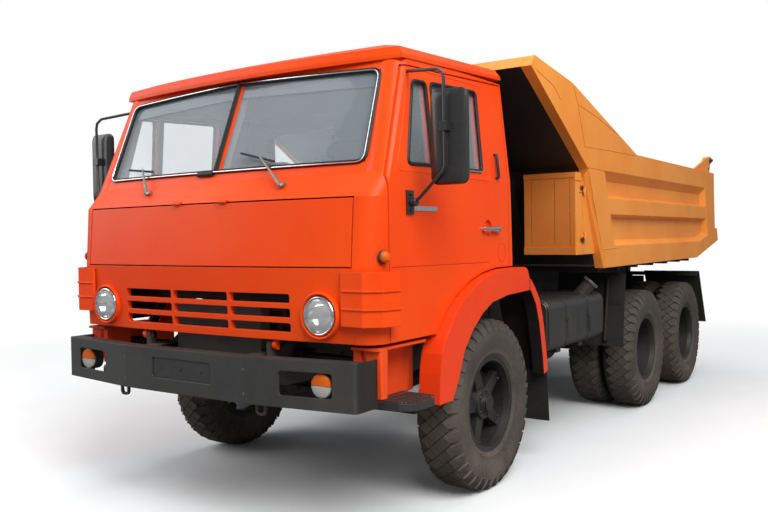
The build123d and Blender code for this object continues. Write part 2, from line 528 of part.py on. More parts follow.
AIR_TANK_RADIUS = 118.0
with BuildPart() as air_tanks:
    for x, y_low, y_high, z in ((568, -560, 120, 588), (-900, -380, 60, 850), (-640, -380, 60, 850)):
        side = 1 if x > 0 else -1
        with BuildSketch(Plane.YZ.offset(x)) as shell:
            with BuildLine():
                FilletPolyline((y_low, z), (y_low, z + AIR_TANK_RADIUS), (y_high, z + AIR_TANK_RADIUS),
                               (y_high, z), radius=45)
                Line((y_high, z), (y_low, z))
            make_face()
        revolve(shell.sketch, axis=Axis((x, y_low, z), (0, 1, 0)))
    for y in (-470, 20):
        block((490, 560), (y - 20, y + 20), (600, 770))
        block((RAIL_OUTER_X + SEAT_GAP, 560), (y - 20, y + 20), (770, 830))
    for y in (-290, -40):
        block((-960, -RAIL_OUTER_X - SEAT_GAP), (y - 20, y + 20), (930, 985))
write(air_tanks, "air_tanks")

EXHAUST_Y = -1190.0
with BuildPart() as exhaust:
    # muffler across the right-hand side, its pipe to the engine and its tail pipe
    rod((-860, EXHAUST_Y, 760), (-480, EXHAUST_Y, 760), 105)
    rod((-490, EXHAUST_Y + 40, 740), (-300, EXHAUST_Y + 40, 740), 40)
    rod((-300, EXHAUST_Y + 79, 740), (-300, ENGINE_REAR_Y + SEAT_GAP, 740), 40)
    rod((-850, EXHAUST_Y, 760), (-1010, EXHAUST_Y, 740), 40)
    block((-560, -RAIL_OUTER_X - SEAT_GAP), (EXHAUST_Y - 25, EXHAUST_Y + 25), (845, 899))
write(exhaust, "exhaust")

SNORKEL_X = 560.0
SNORKEL_Y = -1400.0
with BuildPart() as air_intake:
    rod((SNORKEL_X, SNORKEL_Y, 1010), (SNORKEL_X, SNORKEL_Y, 1300), 150)
    rod((SNORKEL_X, SNORKEL_Y, 1290), (SNORKEL_X, SNORKEL_Y, 2160), 70)
    block((SNORKEL_X - 95, SNORKEL_X + 95), (SNORKEL_Y - 75, SNORKEL_Y + 75), (2120, 2280))
    rod((SNORKEL_X - 100, SNORKEL_Y, 1150), (300, SNORKEL_Y, 1150), 55)
    rod((300, SNORKEL_Y + 54, 1150), (300, ENGINE_REAR_Y + SEAT_GAP, 1150), 55)
    block((RAIL_OUTER_X - 40, SNORKEL_X + 60), (SNORKEL_Y - 60, SNORKEL_Y + 60), (RAIL_TOP_Z, 1020))
write(air_intake, "air_intake")

SPARE_X = -640.0
SPARE_Y = -1330.0
SPARE_Z = 1620.0
with BuildPart() as spare_wheel:
    half = (
        (BEAD_HALF_WIDTH, BEAD_RADIUS - 14), (BEAD_HALF_WIDTH + 8, RIM_FLANGE_RADIUS),
        (0.44 * TYRE_WIDTH, RIM_FLANGE_RADIUS + 38), (0.5 * TYRE_WIDTH, RIM_FLANGE_RADIUS + 100),
        (0.47 * TYRE_WIDTH, TYRE_RADIUS - 55), (SHOULDER_X, TYRE_RADIUS - 16), (0.15 * TYRE_WIDTH, TYRE_RADIUS),
    )
    ring = [(SPARE_Y + dy, SPARE_Z + radius) for dy, radius in half]
    ring += [(SPARE_Y - dy, SPARE_Z + radius) for dy, radius in reversed(half)]
    with BuildSketch(Plane.YZ.offset(SPARE_X)) as spare_section:
        with BuildLine():
            Polyline(*ring, close=True)
        make_face()
    revolve(spare_section.sketch, axis=Axis((SPARE_X, SPARE_Y, SPARE_Z), (0, 1, 0)))
write(spare_wheel, "spare_wheel")

with BuildPart() as spare_carrier:
    # clamp disc in the bead, and a frame from the rail up behind the wheel
    with Locations(Location((SPARE_X, SPARE_Y + 20, SPARE_Z), (90, 0, 0))):
        Cylinder(BEAD_RADIUS - 14.3, 30)
        Cylinder(60, 160)
    post_y = (SPARE_Y + TYRE_WIDTH / 2 + 5, SPARE_Y + TYRE_WIDTH / 2 + 65)
    for x in (SPARE_X - 220, SPARE_X + 170):
        block((x - 30, x + 30), post_y, (940, SPARE_Z + 60))
    block((SPARE_X - 250, SPARE_X + 210), post_y, (SPARE_Z - 40, SPARE_Z + 40))
    with Locations(Location((SPARE_X, (SPARE_Y + post_y[1]) / 2, SPARE_Z), (90, 0, 0))):
        Cylinder(50, post_y[1] - SPARE_Y)
    block((SPARE_X - 250, -RAIL_OUTER_X - SEAT_GAP), post_y, (900, 960))
    block((SPARE_X - 250, SPARE_X + 210), (SPARE_Y - 60, post_y[1]), (SPARE_Z - TYRE_RADIUS - 60, SPARE_Z - TYRE_RADIUS - 4))
write(spare_carrier, "spare_carrier")

# -------------------------------------------------- mudguards and flaps
SHEET = 6.0
FLAP_X = (620.0, 1200.0)
SHIELD = ((300.0, 1195.0), (216.0, 600.0))            # y, z of the top and bottom edges
REAR_FLAP = ((2700.0, 1110.0), (2990.0, 545.0))
GUARD_SEAM = 385.0
FENDER_OUTER_X = 1190.0
TAIL_GUARD = ((405, 1240), (470, 1180), (540, 1096), (585, 980), (614, 861), (640, 740), (658, 625))


def slanted_plate(x_range, top, bottom, thickness):
    """Flat plate across the truck between a top and a bottom edge given as (y, z)."""
    side_prism(((top[0], top[1]), (top[0] + thickness, top[1]),
                (bottom[0] + thickness, bottom[1]), (bottom[0], bottom[1])), x_range[0], x_range[1])


with BuildPart() as mudguards:
    slanted_plate(FLAP_X, SHIELD[0], SHIELD[1], SHEET)
    block((RAIL_OUTER_X + SEAT_GAP, FLAP_X[1] - 20), (SHIELD[0][0] - 40, SHIELD[0][0] - 4), (940, 976))
    rod((1060, SHIELD[1][0] - 30, 650), (1060, SHIELD[0][0] - 22, 1150), 12)
    block((1040, 1080), (SHIELD[0][0] - 100, SHIELD[1][0] + 5), (640, 665))
    slanted_plate(FLAP_X, REAR_FLAP[0], REAR_FLAP[1], SHEET)
    block((SUBFRAME_X + SUBFRAME_WIDTH / 2 + SEAT_GAP, FLAP_X[1] - 20),
          (REAR_FLAP[0][0] - 40, REAR_FLAP[0][0] + 6), (1060, 1100))
    block((RAIL_OUTER_X + SEAT_GAP, RAIL_OUTER_X + 60), (REAR_FLAP[0][0] - 40, REAR_FLAP[0][0] + 6), (900, 999))
    block((SUBFRAME_X + SUBFRAME_WIDTH / 2 + SEAT_GAP, RAIL_OUTER_X + 60),
          (REAR_FLAP[0][0] - 40, REAR_FLAP[0][0] + 6), (998, 1100))
    # rubber flap under the tail of each front guard
    flap_top = (FRONT_AXLE_Y + TAIL_GUARD[-1][0] - 9, TAIL_GUARD[-1][1] - 3.4)
    slanted_plate((900.0, 1185.0), flap_top, (flap_top[0] + 33, 282), SHEET)
    mirror(about=Plane.YZ)
write(mudguards, "mudguards")

with BuildPart() as fender_tails:
    guard_outer = [(FRONT_AXLE_Y + y, z) for y, z in TAIL_GUARD]
    guard_inner = [(y - 60, z - 20) for y, z in guard_outer]
    side_prism(guard_outer + guard_inner[::-1], 1110, FENDER_OUTER_X)
    guard_skin = [(y - SHEET - 4, z - 2) for y, z in guard_outer]
    side_prism(guard_outer + guard_skin[::-1], 900, FENDER_OUTER_X)
    block((RAIL_OUTER_X + SEAT_GAP, 910), (FRONT_AXLE_Y + 545, FRONT_AXLE_Y + 585), (900, 940))
    block((800, 1300), (FRONT_AXLE_Y, FRONT_AXLE_Y + GUARD_SEAM + BODY_GAP), (1000, 1400), mode=Mode.SUBTRACT)
    mirror(about=Plane.YZ)
write(fender_tails, "fender_tails")

# ================================================================ cab
CAB_WALL = 70.0
DOOR_THICKNESS = 50.0
PANEL_THICKNESS = 30.0
FLOOR_BOTTOM_Z = 1180.0
FLOOR_TOP_Z = 1230.0
CAB_NOSE_HALF_X = 1010.0                # half width between the corner panels
# height, half width, nose ahead of the axle, bow, corner ahead of the axle, rear behind the axle
CAB_SECTIONS = (
    (1000.0, 1130.0, 1270.0, 45.0, 1100.0, 270.0),
    (1372.0, 1130.0, 1290.0, 46.0, 1100.0, 266.0),
    (1715.0, 1130.0, 1264.0, 48.0, 1100.0, 254.0),
    (1838.0, 1128.0, 1160.0, 60.0, 1068.0, 250.0),
    (2450.0, 1072.0, 915.0, 44.0, 812.0, 230.0),
)


def cab_section(z, half_width, nose, bow, corner, rear, inset):
    """One level of the cab's plan: bowed nose, rounded corners, straight sides and rear."""
    front_x = half_width - 120
    nose_y = FRONT_AXLE_Y - nose + inset
    bow_y = nose_y + bow
    corner_y = FRONT_AXLE_Y - corner + inset
    rear_y = FRONT_AXLE_Y + rear - inset
    side_x = half_width - inset
    front_x = min(front_x, side_x - 45)
    mid = (front_x + (side_x - front_x) * 0.74, bow_y + (corner_y - bow_y) * 0.30)
    with BuildSketch(Plane.XY.offset(z)) as level:
        with BuildLine():
            ThreePointArc((-front_x, bow_y), (0, nose_y), (front_x, bow_y))
            ThreePointArc((front_x, bow_y), mid, (side_x, corner_y))
            Polyline((side_x, corner_y), (side_x, rear_y), (-side_x, rear_y), (-side_x, corner_y))
            ThreePointArc((-side_x, corner_y), (-mid[0], mid[1]), (-front_x, bow_y))
        make_face()
    return level.sketch.face()


def cab_body(inset, low=None, high=None):
    """Solid of the cab's outside set in by a distance, between two heights."""
    with BuildPart(mode=Mode.PRIVATE) as body:
        for lower, upper in zip(CAB_SECTIONS[:-1], CAB_SECTIONS[1:]):
            loft([cab_section(*lower, inset), cab_section(*upper, inset)], ruled=True)
        if low is not None:
            block((-1300, 1300), (-3400, -1500), (900, low), mode=Mode.SUBTRACT)
        if high is not None:
            block((-1300, 1300), (-3400, -1500), (high, 2600), mode=Mode.SUBTRACT)
    return body.part


ARCH_EDGE = ((-665.0, 990.0), (-547.0, 1118.0), (-448.0, 1185.0), (-286.0, 1262.0),
             (-130.0, 1305.0), (40.0, 1325.0), (330.0, 1328.0))
OPENING_OUTER_X = 1140.0
DOOR_INNER_X = 1014.0
SIDE_WALL_X = 1130.0
DOOR_EDGE = ((-1089.0, 990.0),) + ARCH_EDGE[:-1] + (
    (214.0, 1327.0), (214.0, 2434.0), (-862.0, 2388.0), (-1089.0, 1812.0))


def door_prism(side, inner_x, grow):
    """Prism through one side of the cab over the door's outline grown by a distance."""
    start = inner_x if side > 0 else -OPENING_OUTER_X
    with BuildSketch(Plane.YZ.offset(start), mode=Mode.PRIVATE) as view:
        with BuildLine():
            Polyline(*[(FRONT_AXLE_Y + y, z) for y, z in DOOR_EDGE], close=True)
        make_face()
        offset(amount=grow, kind=Kind.INTERSECTION, mode=Mode.REPLACE)
    with BuildPart(mode=Mode.PRIVATE) as prism:
        extrude(view.sketch, amount=OPENING_OUTER_X - inner_x)
    return prism.part


ROOF_TILT = degrees(atan2(2475 - 2430, 1092))
ROOF_START = (0, FRONT_AXLE_Y - 878, 2428)
roof_plane = Plane(origin=ROOF_START, x_dir=(1, 0, 0), z_dir=(0, -sin(radians(ROOF_TILT)), cos(radians(ROOF_TILT))))
# height over the gutter, half width, nose ahead and rear behind the roof plane's origin
ROOF_SECTIONS = (
    (0.0, 1079.0, 96.0, 104.0, 1106.0),
    (22.0, 1079.0, 96.0, 104.0, 1106.0),
    (62.0, 1056.0, 86.0, 100.0, 1082.0),
    (104.0, 900.0, -60.0, 60.0, 960.0),
    (118.0, 600.0, -330.0, 30.0, 700.0),
)


def roof_section(height, half_width, nose, bow, rear):
    """One level of the roof: bowed visor edge in front, square rear corners."""
    with BuildSketch(roof_plane.offset(height)) as level:
        with BuildLine():
            ThreePointArc((-half_width, -nose + bow), (0, -nose), (half_width, -nose + bow))
            Polyline((half_width, -nose + bow), (half_width, rear), (-half_width, rear), (-half_width, -nose + bow))
        make_face()
    return level.sketch.face()


WINDSCREEN = ((26.0, 1895.0), (985.0, 1892.0), (962.0, 2378.0), (26.0, 2412.0))
REAR_WINDOW_X = 500.0
REAR_WINDOW_Z = 2130.0
REAR_WINDOW = (640.0, 330.0)
TUNNEL_X = 360.0
SILL_X = 1062.0
TUNNEL_TOP_Z = 1392.0
TUNNEL_FRONT_Y = ENGINE_FRONT_Y - 60
BULKHEAD = (1120.0, 1090.0)
HOOD_Z = (1375.0, 1709.0)
HOOD_HINGE = (FRONT_AXLE_Y - 1275, 1716.0)
HOOD_HINGE_X = (150.0, 180.0, 210.0)    # ends of a hinge and the middle of its moving knuckle
HOOD_PIN_RADIUS = 4.0
HOOD_STOP_X = 900.0
with BuildPart() as cab_shell:
    add(cab_body(0))
    add(cab_body(CAB_WALL, low=FLOOR_TOP_Z, high=2400), mode=Mode.SUBTRACT)
    add(cab_body(CAB_WALL, high=FLOOR_BOTTOM_Z), mode=Mode.SUBTRACT)
    # everything under the floor behind the corner panels is open
    block((-1300, 1300), (FRONT_AXLE_Y - 1093, -1500), (990, FLOOR_BOTTOM_Z), mode=Mode.SUBTRACT)
    # the nose is open between the corner panels, for the hood and the front panel
    block((-CAB_NOSE_HALF_X - 4, CAB_NOSE_HALF_X + 4), (-3400, FRONT_AXLE_Y - BULKHEAD[0]), (990, 1716),
          mode=Mode.SUBTRACT)
    block((-CAB_NOSE_HALF_X + 40, CAB_NOSE_HALF_X - 40), (FRONT_AXLE_Y - BULKHEAD[0], FRONT_AXLE_Y - BULKHEAD[1]),
          (FLOOR_BOTTOM_Z, 1730))
    block((-CAB_NOSE_HALF_X - 4, CAB_NOSE_HALF_X + 4), (FRONT_AXLE_Y - BULKHEAD[0] - 1, FRONT_AXLE_Y - 1000),
          (990, FLOOR_BOTTOM_Z), mode=Mode.SUBTRACT)
    for side in (1, -1):
        low, high = sorted((side * (SILL_X - 40), side * SILL_X))
        block((low, high), (FRONT_AXLE_Y - 1090, FRONT_AXLE_Y + 230), (FLOOR_BOTTOM_Z, 1350))
        low, high = sorted((side * SILL_X, side * 1300))
        arch = [(-720, 900), (-720, 990)] + list(ARCH_EDGE) + [(330, 900)]
        side_prism([(FRONT_AXLE_Y + y, z) for y, z in arch], low, high, mode=Mode.SUBTRACT)
    # engine tunnel
    block((-TUNNEL_X - 40, TUNNEL_X + 40), (TUNNEL_FRONT_Y - 40, FRONT_AXLE_Y + 200), (FLOOR_BOTTOM_Z, TUNNEL_TOP_Z + 40))
    block((-TUNNEL_X, TUNNEL_X), (TUNNEL_FRONT_Y, -1500), (FLOOR_BOTTOM_Z - 1, TUNNEL_TOP_Z), mode=Mode.SUBTRACT)
    # roof
    for lower, upper in zip(ROOF_SECTIONS[:-1], ROOF_SECTIONS[1:]):
        loft([roof_section(*lower), roof_section(*upper)], ruled=True)
    # door openings: a full gap outside, a seating lip behind each door
    for side in (1, -1):
        add(door_prism(side, OPENING_OUTER_X - 180, -22), mode=Mode.SUBTRACT)
    with BuildPart(mode=Mode.PRIVATE) as door_space:
        for side in (1, -1):
            add(door_prism(side, DOOR_INNER_X, BODY_GAP))
        add(cab_body(DOOR_THICKNESS + SEAT_GAP), mode=Mode.SUBTRACT)
    add(door_space.part, mode=Mode.SUBTRACT)
    # no lip where the door's wrapped front corner swings past it
    for side in (1, -1):
        block(sorted((side * (DOOR_INNER_X - 14), side * (SIDE_WALL_X - 40))),
              (FRONT_AXLE_Y - 1087, FRONT_AXLE_Y - 1040), (1630, 1836), mode=Mode.SUBTRACT)
    # windows: split windscreen, two panes in the rear wall
    for side in (1, -1):
        front_prism([(side * x, z) for x, z in WINDSCREEN], -3400, FRONT_AXLE_Y - 700, mode=Mode.SUBTRACT)
        with BuildSketch(Plane.XZ.offset(-FRONT_AXLE_Y - 100)) as rear_view:
            with Locations((side * REAR_WINDOW_X, REAR_WINDOW_Z)):
                RectangleRounded(*REAR_WINDOW, 50)
        extrude(rear_view.sketch, amount=-300, mode=Mode.SUBTRACT)
        # pivot brackets under the floor
        low, high = sorted((side * (CAB_PIVOT_X + 22), side * (CAB_PIVOT_X + 50)))
        side_prism(((CAB_PIVOT_Y - 26, CAB_PIVOT_Z), (CAB_PIVOT_Y + 26, CAB_PIVOT_Z),
                    (CAB_PIVOT_Y + 160, FLOOR_BOTTOM_Z), (FRONT_AXLE_Y - BULKHEAD[0], FLOOR_BOTTOM_Z)), low, high)
        with Locations(Location(((low + high) / 2, CAB_PIVOT_Y, CAB_PIVOT_Z), (0, 90, 0))):
            Cylinder(26, high - low)
        rod((side * (CAB_PIVOT_X - 16), CAB_PIVOT_Y, CAB_PIVOT_Z),
            (side * (CAB_PIVOT_X + 50), CAB_PIVOT_Y, CAB_PIVOT_Z), CAB_PIN_RADIUS)
        # hood hinge knuckles with their pin, and a stop the hood closes on
        inner_x, _, outer_x = HOOD_HINGE_X
        for start, end in ((inner_x, inner_x + 14), (outer_x - 14, outer_x)):
            low, high = sorted((side * start, side * end))
            block((low, high), (HOOD_HINGE[0], HOOD_HINGE[0] + 34), (HOOD_HINGE[1] + 5, HOOD_HINGE[1] + 11))
            rod((low, *HOOD_HINGE), (high, *HOOD_HINGE), 7)
        rod((side * inner_x, *HOOD_HINGE), (side * outer_x, *HOOD_HINGE), HOOD_PIN_RADIUS)
        with BuildPart(mode=Mode.PRIVATE) as stops:
            for z in (1440, 1640):
                rod((side * HOOD_STOP_X, FRONT_AXLE_Y - BULKHEAD[0] + 1, z),
                    (side * HOOD_STOP_X, FRONT_AXLE_Y - 1240, z), 18)
            add(cab_body(PANEL_THICKNESS + SEAT_GAP), mode=Mode.INTERSECT)
        add(stops.part)
write(cab_shell, "cab_shell")

# -------------------------------------------------- nose: front panel with its grille, hood
FRONT_PANEL_Z = (1001.0, 1369.0)
HEADLIGHT_X = 829.0
HEADLIGHT_Z = 1136.0
HEADLIGHT_RADIUS = 92.0
BEZEL_RADIUS = 108.0
LAMP_HOLE_RADIUS = 102.0
GRILLE_HALF_WIDTH = 645.0
GRILLE_ROW_Z = (1066.0, 1140.0, 1214.0)
SLOT_HEIGHT = 46.0
MULLION_X = 220.0
MULLION_WIDTH = 20.0


def skin(outer_inset, inner_inset):
    """Layer of the cab's outside between two insets."""
    with BuildPart(mode=Mode.PRIVATE) as layer:
        add(cab_body(outer_inset))
        add(cab_body(inner_inset), mode=Mode.SUBTRACT)
    return layer.part


panel_skin = skin(0, PANEL_THICKNESS)
with BuildPart() as front_panel:
    add(panel_skin)
    block((-CAB_NOSE_HALF_X - 4 + SEAT_GAP, CAB_NOSE_HALF_X + 4 - SEAT_GAP), (-3400, FRONT_AXLE_Y - 1150),
          FRONT_PANEL_Z, mode=Mode.INTERSECT)
    slot_edges = (-GRILLE_HALF_WIDTH, -MULLION_X, MULLION_X, GRILLE_HALF_WIDTH)
    with BuildSketch(Plane.XZ.offset(3400)) as slots:
        for row_z in GRILLE_ROW_Z:
            for start, end in zip(slot_edges[:-1], slot_edges[1:]):
                with Locations(((start + end) / 2, row_z)):
                    RectangleRounded(end - start - MULLION_WIDTH, SLOT_HEIGHT, 10)
        with Locations((HEADLIGHT_X, HEADLIGHT_Z), (-HEADLIGHT_X, HEADLIGHT_Z)):
            Circle(LAMP_HOLE_RADIUS)
    extrude(slots.sketch, amount=-400, mode=Mode.SUBTRACT)
write(front_panel, "front_panel")

with BuildPart() as hood_panel:
    add(panel_skin)
    block((-CAB_NOSE_HALF_X + 4, CAB_NOSE_HALF_X - 4), (-3400, FRONT_AXLE_Y - 1150), HOOD_Z, mode=Mode.INTERSECT)
    for side in (1, -1):
        ends = [side * (HOOD_HINGE_X[1] + reach) for reach in (-15.7, 15.7)]
        low, high = sorted(ends)
        block((low, high), (HOOD_HINGE[0], HOOD_HINGE[0] + 14), (HOOD_HINGE[1] - 11, HOOD_HINGE[1] - 6))
        rod((low, *HOOD_HINGE), (high, *HOOD_HINGE), 7)
        rod((low - 1, *HOOD_HINGE), (high + 1, *HOOD_HINGE), HOOD_PIN_RADIUS + SEAT_GAP, mode=Mode.SUBTRACT)
write(hood_panel, "hood_panel")

GLASS = (12.0, 20.0)
with BuildPart() as cab_glass:
    add(skin(*GLASS))
    with BuildPart(mode=Mode.PRIVATE) as panes:
        for side in (1, -1):
            front_prism([(side * x, z) for x, z in WINDSCREEN], -3400, FRONT_AXLE_Y - 700)
            with BuildSketch(Plane.XZ.offset(-FRONT_AXLE_Y - 100)) as rear_view:
                with Locations((side * REAR_WINDOW_X, REAR_WINDOW_Z)):
                    RectangleRounded(*REAR_WINDOW, 50)
            extrude(rear_view.sketch, amount=-300)
    add(panes.part, mode=Mode.INTERSECT)
write(cab_glass, "cab_glass")

DEFLECTOR = ((960.0, 1264.0), (1092.0, 1270.0), (1172.0, 1216.0), (1204.0, 1108.0))
DEFLECTOR_Z = (1090.0, 1352.0)
DEFLECTOR_BANDS = 3
with BuildPart() as corner_deflectors:
    band = (DEFLECTOR_Z[1] - DEFLECTOR_Z[0]) / DEFLECTOR_BANDS
    for index in range(DEFLECTOR_BANDS):
        lip = 5.0 if index < DEFLECTOR_BANDS - 1 else 0.0
        for shift, low, high in ((0.0, DEFLECTOR_Z[0] + index * band, DEFLECTOR_Z[0] + (index + 1) * band),
                                 (lip, DEFLECTOR_Z[0] + (index + 1) * band - 8, DEFLECTOR_Z[0] + (index + 1) * band)):
            outer = [(x + shift, FRONT_AXLE_Y - y - shift) for x, y in DEFLECTOR]
            inner = [(x - 12, FRONT_AXLE_Y - y + 12) for x, y in DEFLECTOR]
            plan_prism(outer + inner[::-1], low, high)
    for z in (DEFLECTOR_Z[0] + 50, DEFLECTOR_Z[1] - 50):
        rod((1080, FRONT_AXLE_Y - 1262, z), (1080, FRONT_AXLE_Y - 1160, z), 14)
    add(cab_body(-SEAT_GAP), mode=Mode.SUBTRACT)
    mirror(about=Plane.YZ)
write(corner_deflectors, "corner_deflectors")

ARCH_LIP = ((-596.0, 640.0), (-529.0, 745.0), (-459.0, 893.0), (-365.0, 993.0), (-245.0, 1078.0),
            (-121.0, 1131.0), (75.0, 1159.0), (385.0, 1170.0))
FENDER_CREST = ((385.0, 1250.0), (360.0, 1300.0), (320.0, 1318.0), (40.0, 1315.0), (-132.0, 1294.0),
                (-290.0, 1250.0), (-453.0, 1173.0), (-548.0, 1104.0), (-664.0, 974.0), (-704.0, 900.0),
                (-724.0, 800.0), (-733.0, 700.0), (-733.0, 640.0))
FENDER_SKIN = 12.0
with BuildPart() as fenders:
    with BuildSketch(Plane.YZ.offset(SILL_X + SEAT_GAP)) as arch_face:
        with BuildLine():
            Polyline(*[(FRONT_AXLE_Y + y, z) for y, z in ARCH_LIP + FENDER_CREST], close=True)
        make_face()
    extrude(arch_face.sketch, amount=FENDER_OUTER_X - SILL_X - SEAT_GAP)
    with BuildSketch(Plane.YZ.offset(SILL_X)) as arch_hollow:
        with BuildLine():
            inner_crest = [(y + 4, z - FENDER_SKIN) for y, z in FENDER_CREST[1:9]]
            inner_crest += [(y + FENDER_SKIN, z) for y, z in FENDER_CREST[9:-1]]
            Polyline(*[(FRONT_AXLE_Y + y, z) for y, z in
                       [(y + 6, z - 14) for y, z in ARCH_LIP] + [(420, 1240)] + inner_crest
                       + [(-700, 600)]], close=True)
        make_face()
    extrude(arch_hollow.sketch, amount=FENDER_OUTER_X - SILL_X - FENDER_SKIN, mode=Mode.SUBTRACT)
    mirror(about=Plane.YZ)
write(fenders, "fenders")

SIGNAL_Z = 1422.0
SIGNAL_Y = FRONT_AXLE_Y - 1150
with BuildPart() as cab_lamps:
    nose_y = FRONT_AXLE_Y - 1262
    for side in (1, -1):
        with BuildSketch(Plane.YZ.offset(side * HEADLIGHT_X)) as lamp:
            with BuildLine():
                ThreePointArc((nose_y - 12, HEADLIGHT_Z), (nose_y - 6, HEADLIGHT_Z + 55),
                              (nose_y + 8, HEADLIGHT_Z + HEADLIGHT_RADIUS))
                Polyline((nose_y + 8, HEADLIGHT_Z + HEADLIGHT_RADIUS), (nose_y - 6, HEADLIGHT_Z + BEZEL_RADIUS - 4),
                         (nose_y + 14, HEADLIGHT_Z + BEZEL_RADIUS), (nose_y + 20, HEADLIGHT_Z + BEZEL_RADIUS - 7),
                         (nose_y + 60, HEADLIGHT_Z + BEZEL_RADIUS - 12), (nose_y + 110, HEADLIGHT_Z + 50),
                         (nose_y + 110, HEADLIGHT_Z), (nose_y - 12, HEADLIGHT_Z))
            make_face()
        revolve(lamp.sketch, axis=Axis((side * HEADLIGHT_X, nose_y, HEADLIGHT_Z), (0, 1, 0)))
        # amber side signal on the corner panel
        start = (side * 1105, SIGNAL_Y, SIGNAL_Z)
        end = (side * 1150, SIGNAL_Y - 12, SIGNAL_Z)
        rod(start, end, 33)
        rod(end, (side * 1172, SIGNAL_Y - 17, SIGNAL_Z), 24)
    add(cab_body(-SEAT_GAP, low=CAB_SECTIONS[1][0]), mode=Mode.SUBTRACT)
    with BuildPart(mode=Mode.PRIVATE) as panel_space:
        add(skin(-SEAT_GAP, PANEL_THICKNESS + SEAT_GAP))
        for side in (1, -1):
            rod((side * HEADLIGHT_X, -3400, HEADLIGHT_Z), (side * HEADLIGHT_X, -3000, HEADLIGHT_Z),
                LAMP_HOLE_RADIUS - SEAT_GAP, mode=Mode.SUBTRACT)
    add(panel_space.part, mode=Mode.SUBTRACT)
write(cab_lamps, "cab_lamps")

SEAT_Y = (FRONT_AXLE_Y - 520, FRONT_AXLE_Y + 20)
with BuildPart() as seats:
    for low, high in ((360 + 60, 1000), (-1000, -360 - 60)):
        block((low + 40, high - 40), (SEAT_Y[0] + 60, SEAT_Y[1] - 60), (FLOOR_TOP_Z, 1420))
        side_prism(((SEAT_Y[0], 1420), (SEAT_Y[1], 1420), (SEAT_Y[1] + 90, 1500), (SEAT_Y[1] + 150, 2080),
                    (SEAT_Y[1] + 60, 2080), (SEAT_Y[1] - 40, 1560), (SEAT_Y[0] + 30, 1570),
                    (SEAT_Y[0], 1540)), low, high)
    fillet(seats.edges().filter_by(Axis.X).group_by(Axis.Z)[-1], 30)
write(seats, "seats")

WHEEL_CENTRE = (550.0, FRONT_AXLE_Y - 430, 1960.0)
WHEEL_RADIUS = 250.0
WHEEL_TILT = 28.0
with BuildPart() as dashboard:
    side_prism(((FRONT_AXLE_Y - BULKHEAD[1] + 0.3, 1500), (FRONT_AXLE_Y - 860, 1520), (FRONT_AXLE_Y - 780, 1640),
                (FRONT_AXLE_Y - 790, 1790), (FRONT_AXLE_Y - 850, 1835), (FRONT_AXLE_Y - BULKHEAD[1] + 0.3, 1835)),
               -960, 960)
    wheel_plane = Plane(origin=WHEEL_CENTRE, x_dir=(1, 0, 0),
                        z_dir=(0, sin(radians(WHEEL_TILT)), cos(radians(WHEEL_TILT))))
    with BuildSketch(Plane(origin=wheel_plane.from_local_coords((WHEEL_RADIUS, 0, 0)),
                           x_dir=(1, 0, 0), z_dir=wheel_plane.y_dir)) as rim_section:
        Circle(15)
    revolve(rim_section.sketch, axis=Axis(WHEEL_CENTRE, wheel_plane.z_dir))
    for turn in (0, 180):
        tip = wheel_plane.from_local_coords((WHEEL_RADIUS * cos(radians(turn)), -20, -6))
        hub = wheel_plane.from_local_coords((0, 0, -40))
        rod(tuple(hub), tuple(tip), 11)
    foot = wheel_plane.from_local_coords((0, 0, -470))
    rod(tuple(wheel_plane.from_local_coords((0, 0, 10))), tuple(foot), 34)
    rod(tuple(foot), (WHEEL_CENTRE[0], FRONT_AXLE_Y - 865, 1575), 26)
    add(cab_body(CAB_WALL + SEAT_GAP), mode=Mode.INTERSECT)
write(dashboard, "dashboard")

# wiper arms and blades, lying 25 mm off the glass
WIPERS = (                               # pivot x, elbow x, blade ends x with their heights
    (542.0, 330.0, 1960.0, 180.0, 1985.0, 430.0, 1925.0),
    (-500.0, -640.0, 1945.0, -790.0, 1950.0, -545.0, 1925.0),
)


def glass_y(x, z, proud):
    """Y of the cab's nose or windscreen at a height and a distance from the middle, less a stand-off."""
    level = max(index for index in range(4) if CAB_SECTIONS[index][0] <= z)
    lower, upper = CAB_SECTIONS[level], CAB_SECTIONS[level + 1]
    share = (z - lower[0]) / (upper[0] - lower[0])
    nose = lower[2] + (upper[2] - lower[2]) * share
    bow = lower[3] + (upper[3] - lower[3]) * share
    return FRONT_AXLE_Y - nose + bow * (x / 1000) ** 2 - proud


with BuildPart() as wipers:
    for pivot_x, tip_x, tip_z, start_x, start_z, end_x, end_z in WIPERS:
        pivot_y = glass_y(pivot_x, 1795, 0)
        rod((pivot_x, pivot_y + 30, 1800), (pivot_x, pivot_y - 45, 1790), 14)
        rod((pivot_x, pivot_y - 40, 1791), (tip_x, glass_y(tip_x, tip_z, 30), tip_z), 7)
        rod((start_x, glass_y(start_x, start_z, 24), start_z), (end_x, glass_y(end_x, end_z, 24), end_z), 8)
    add(cab_body(-SEAT_GAP), mode=Mode.SUBTRACT)
write(wipers, "wipers")

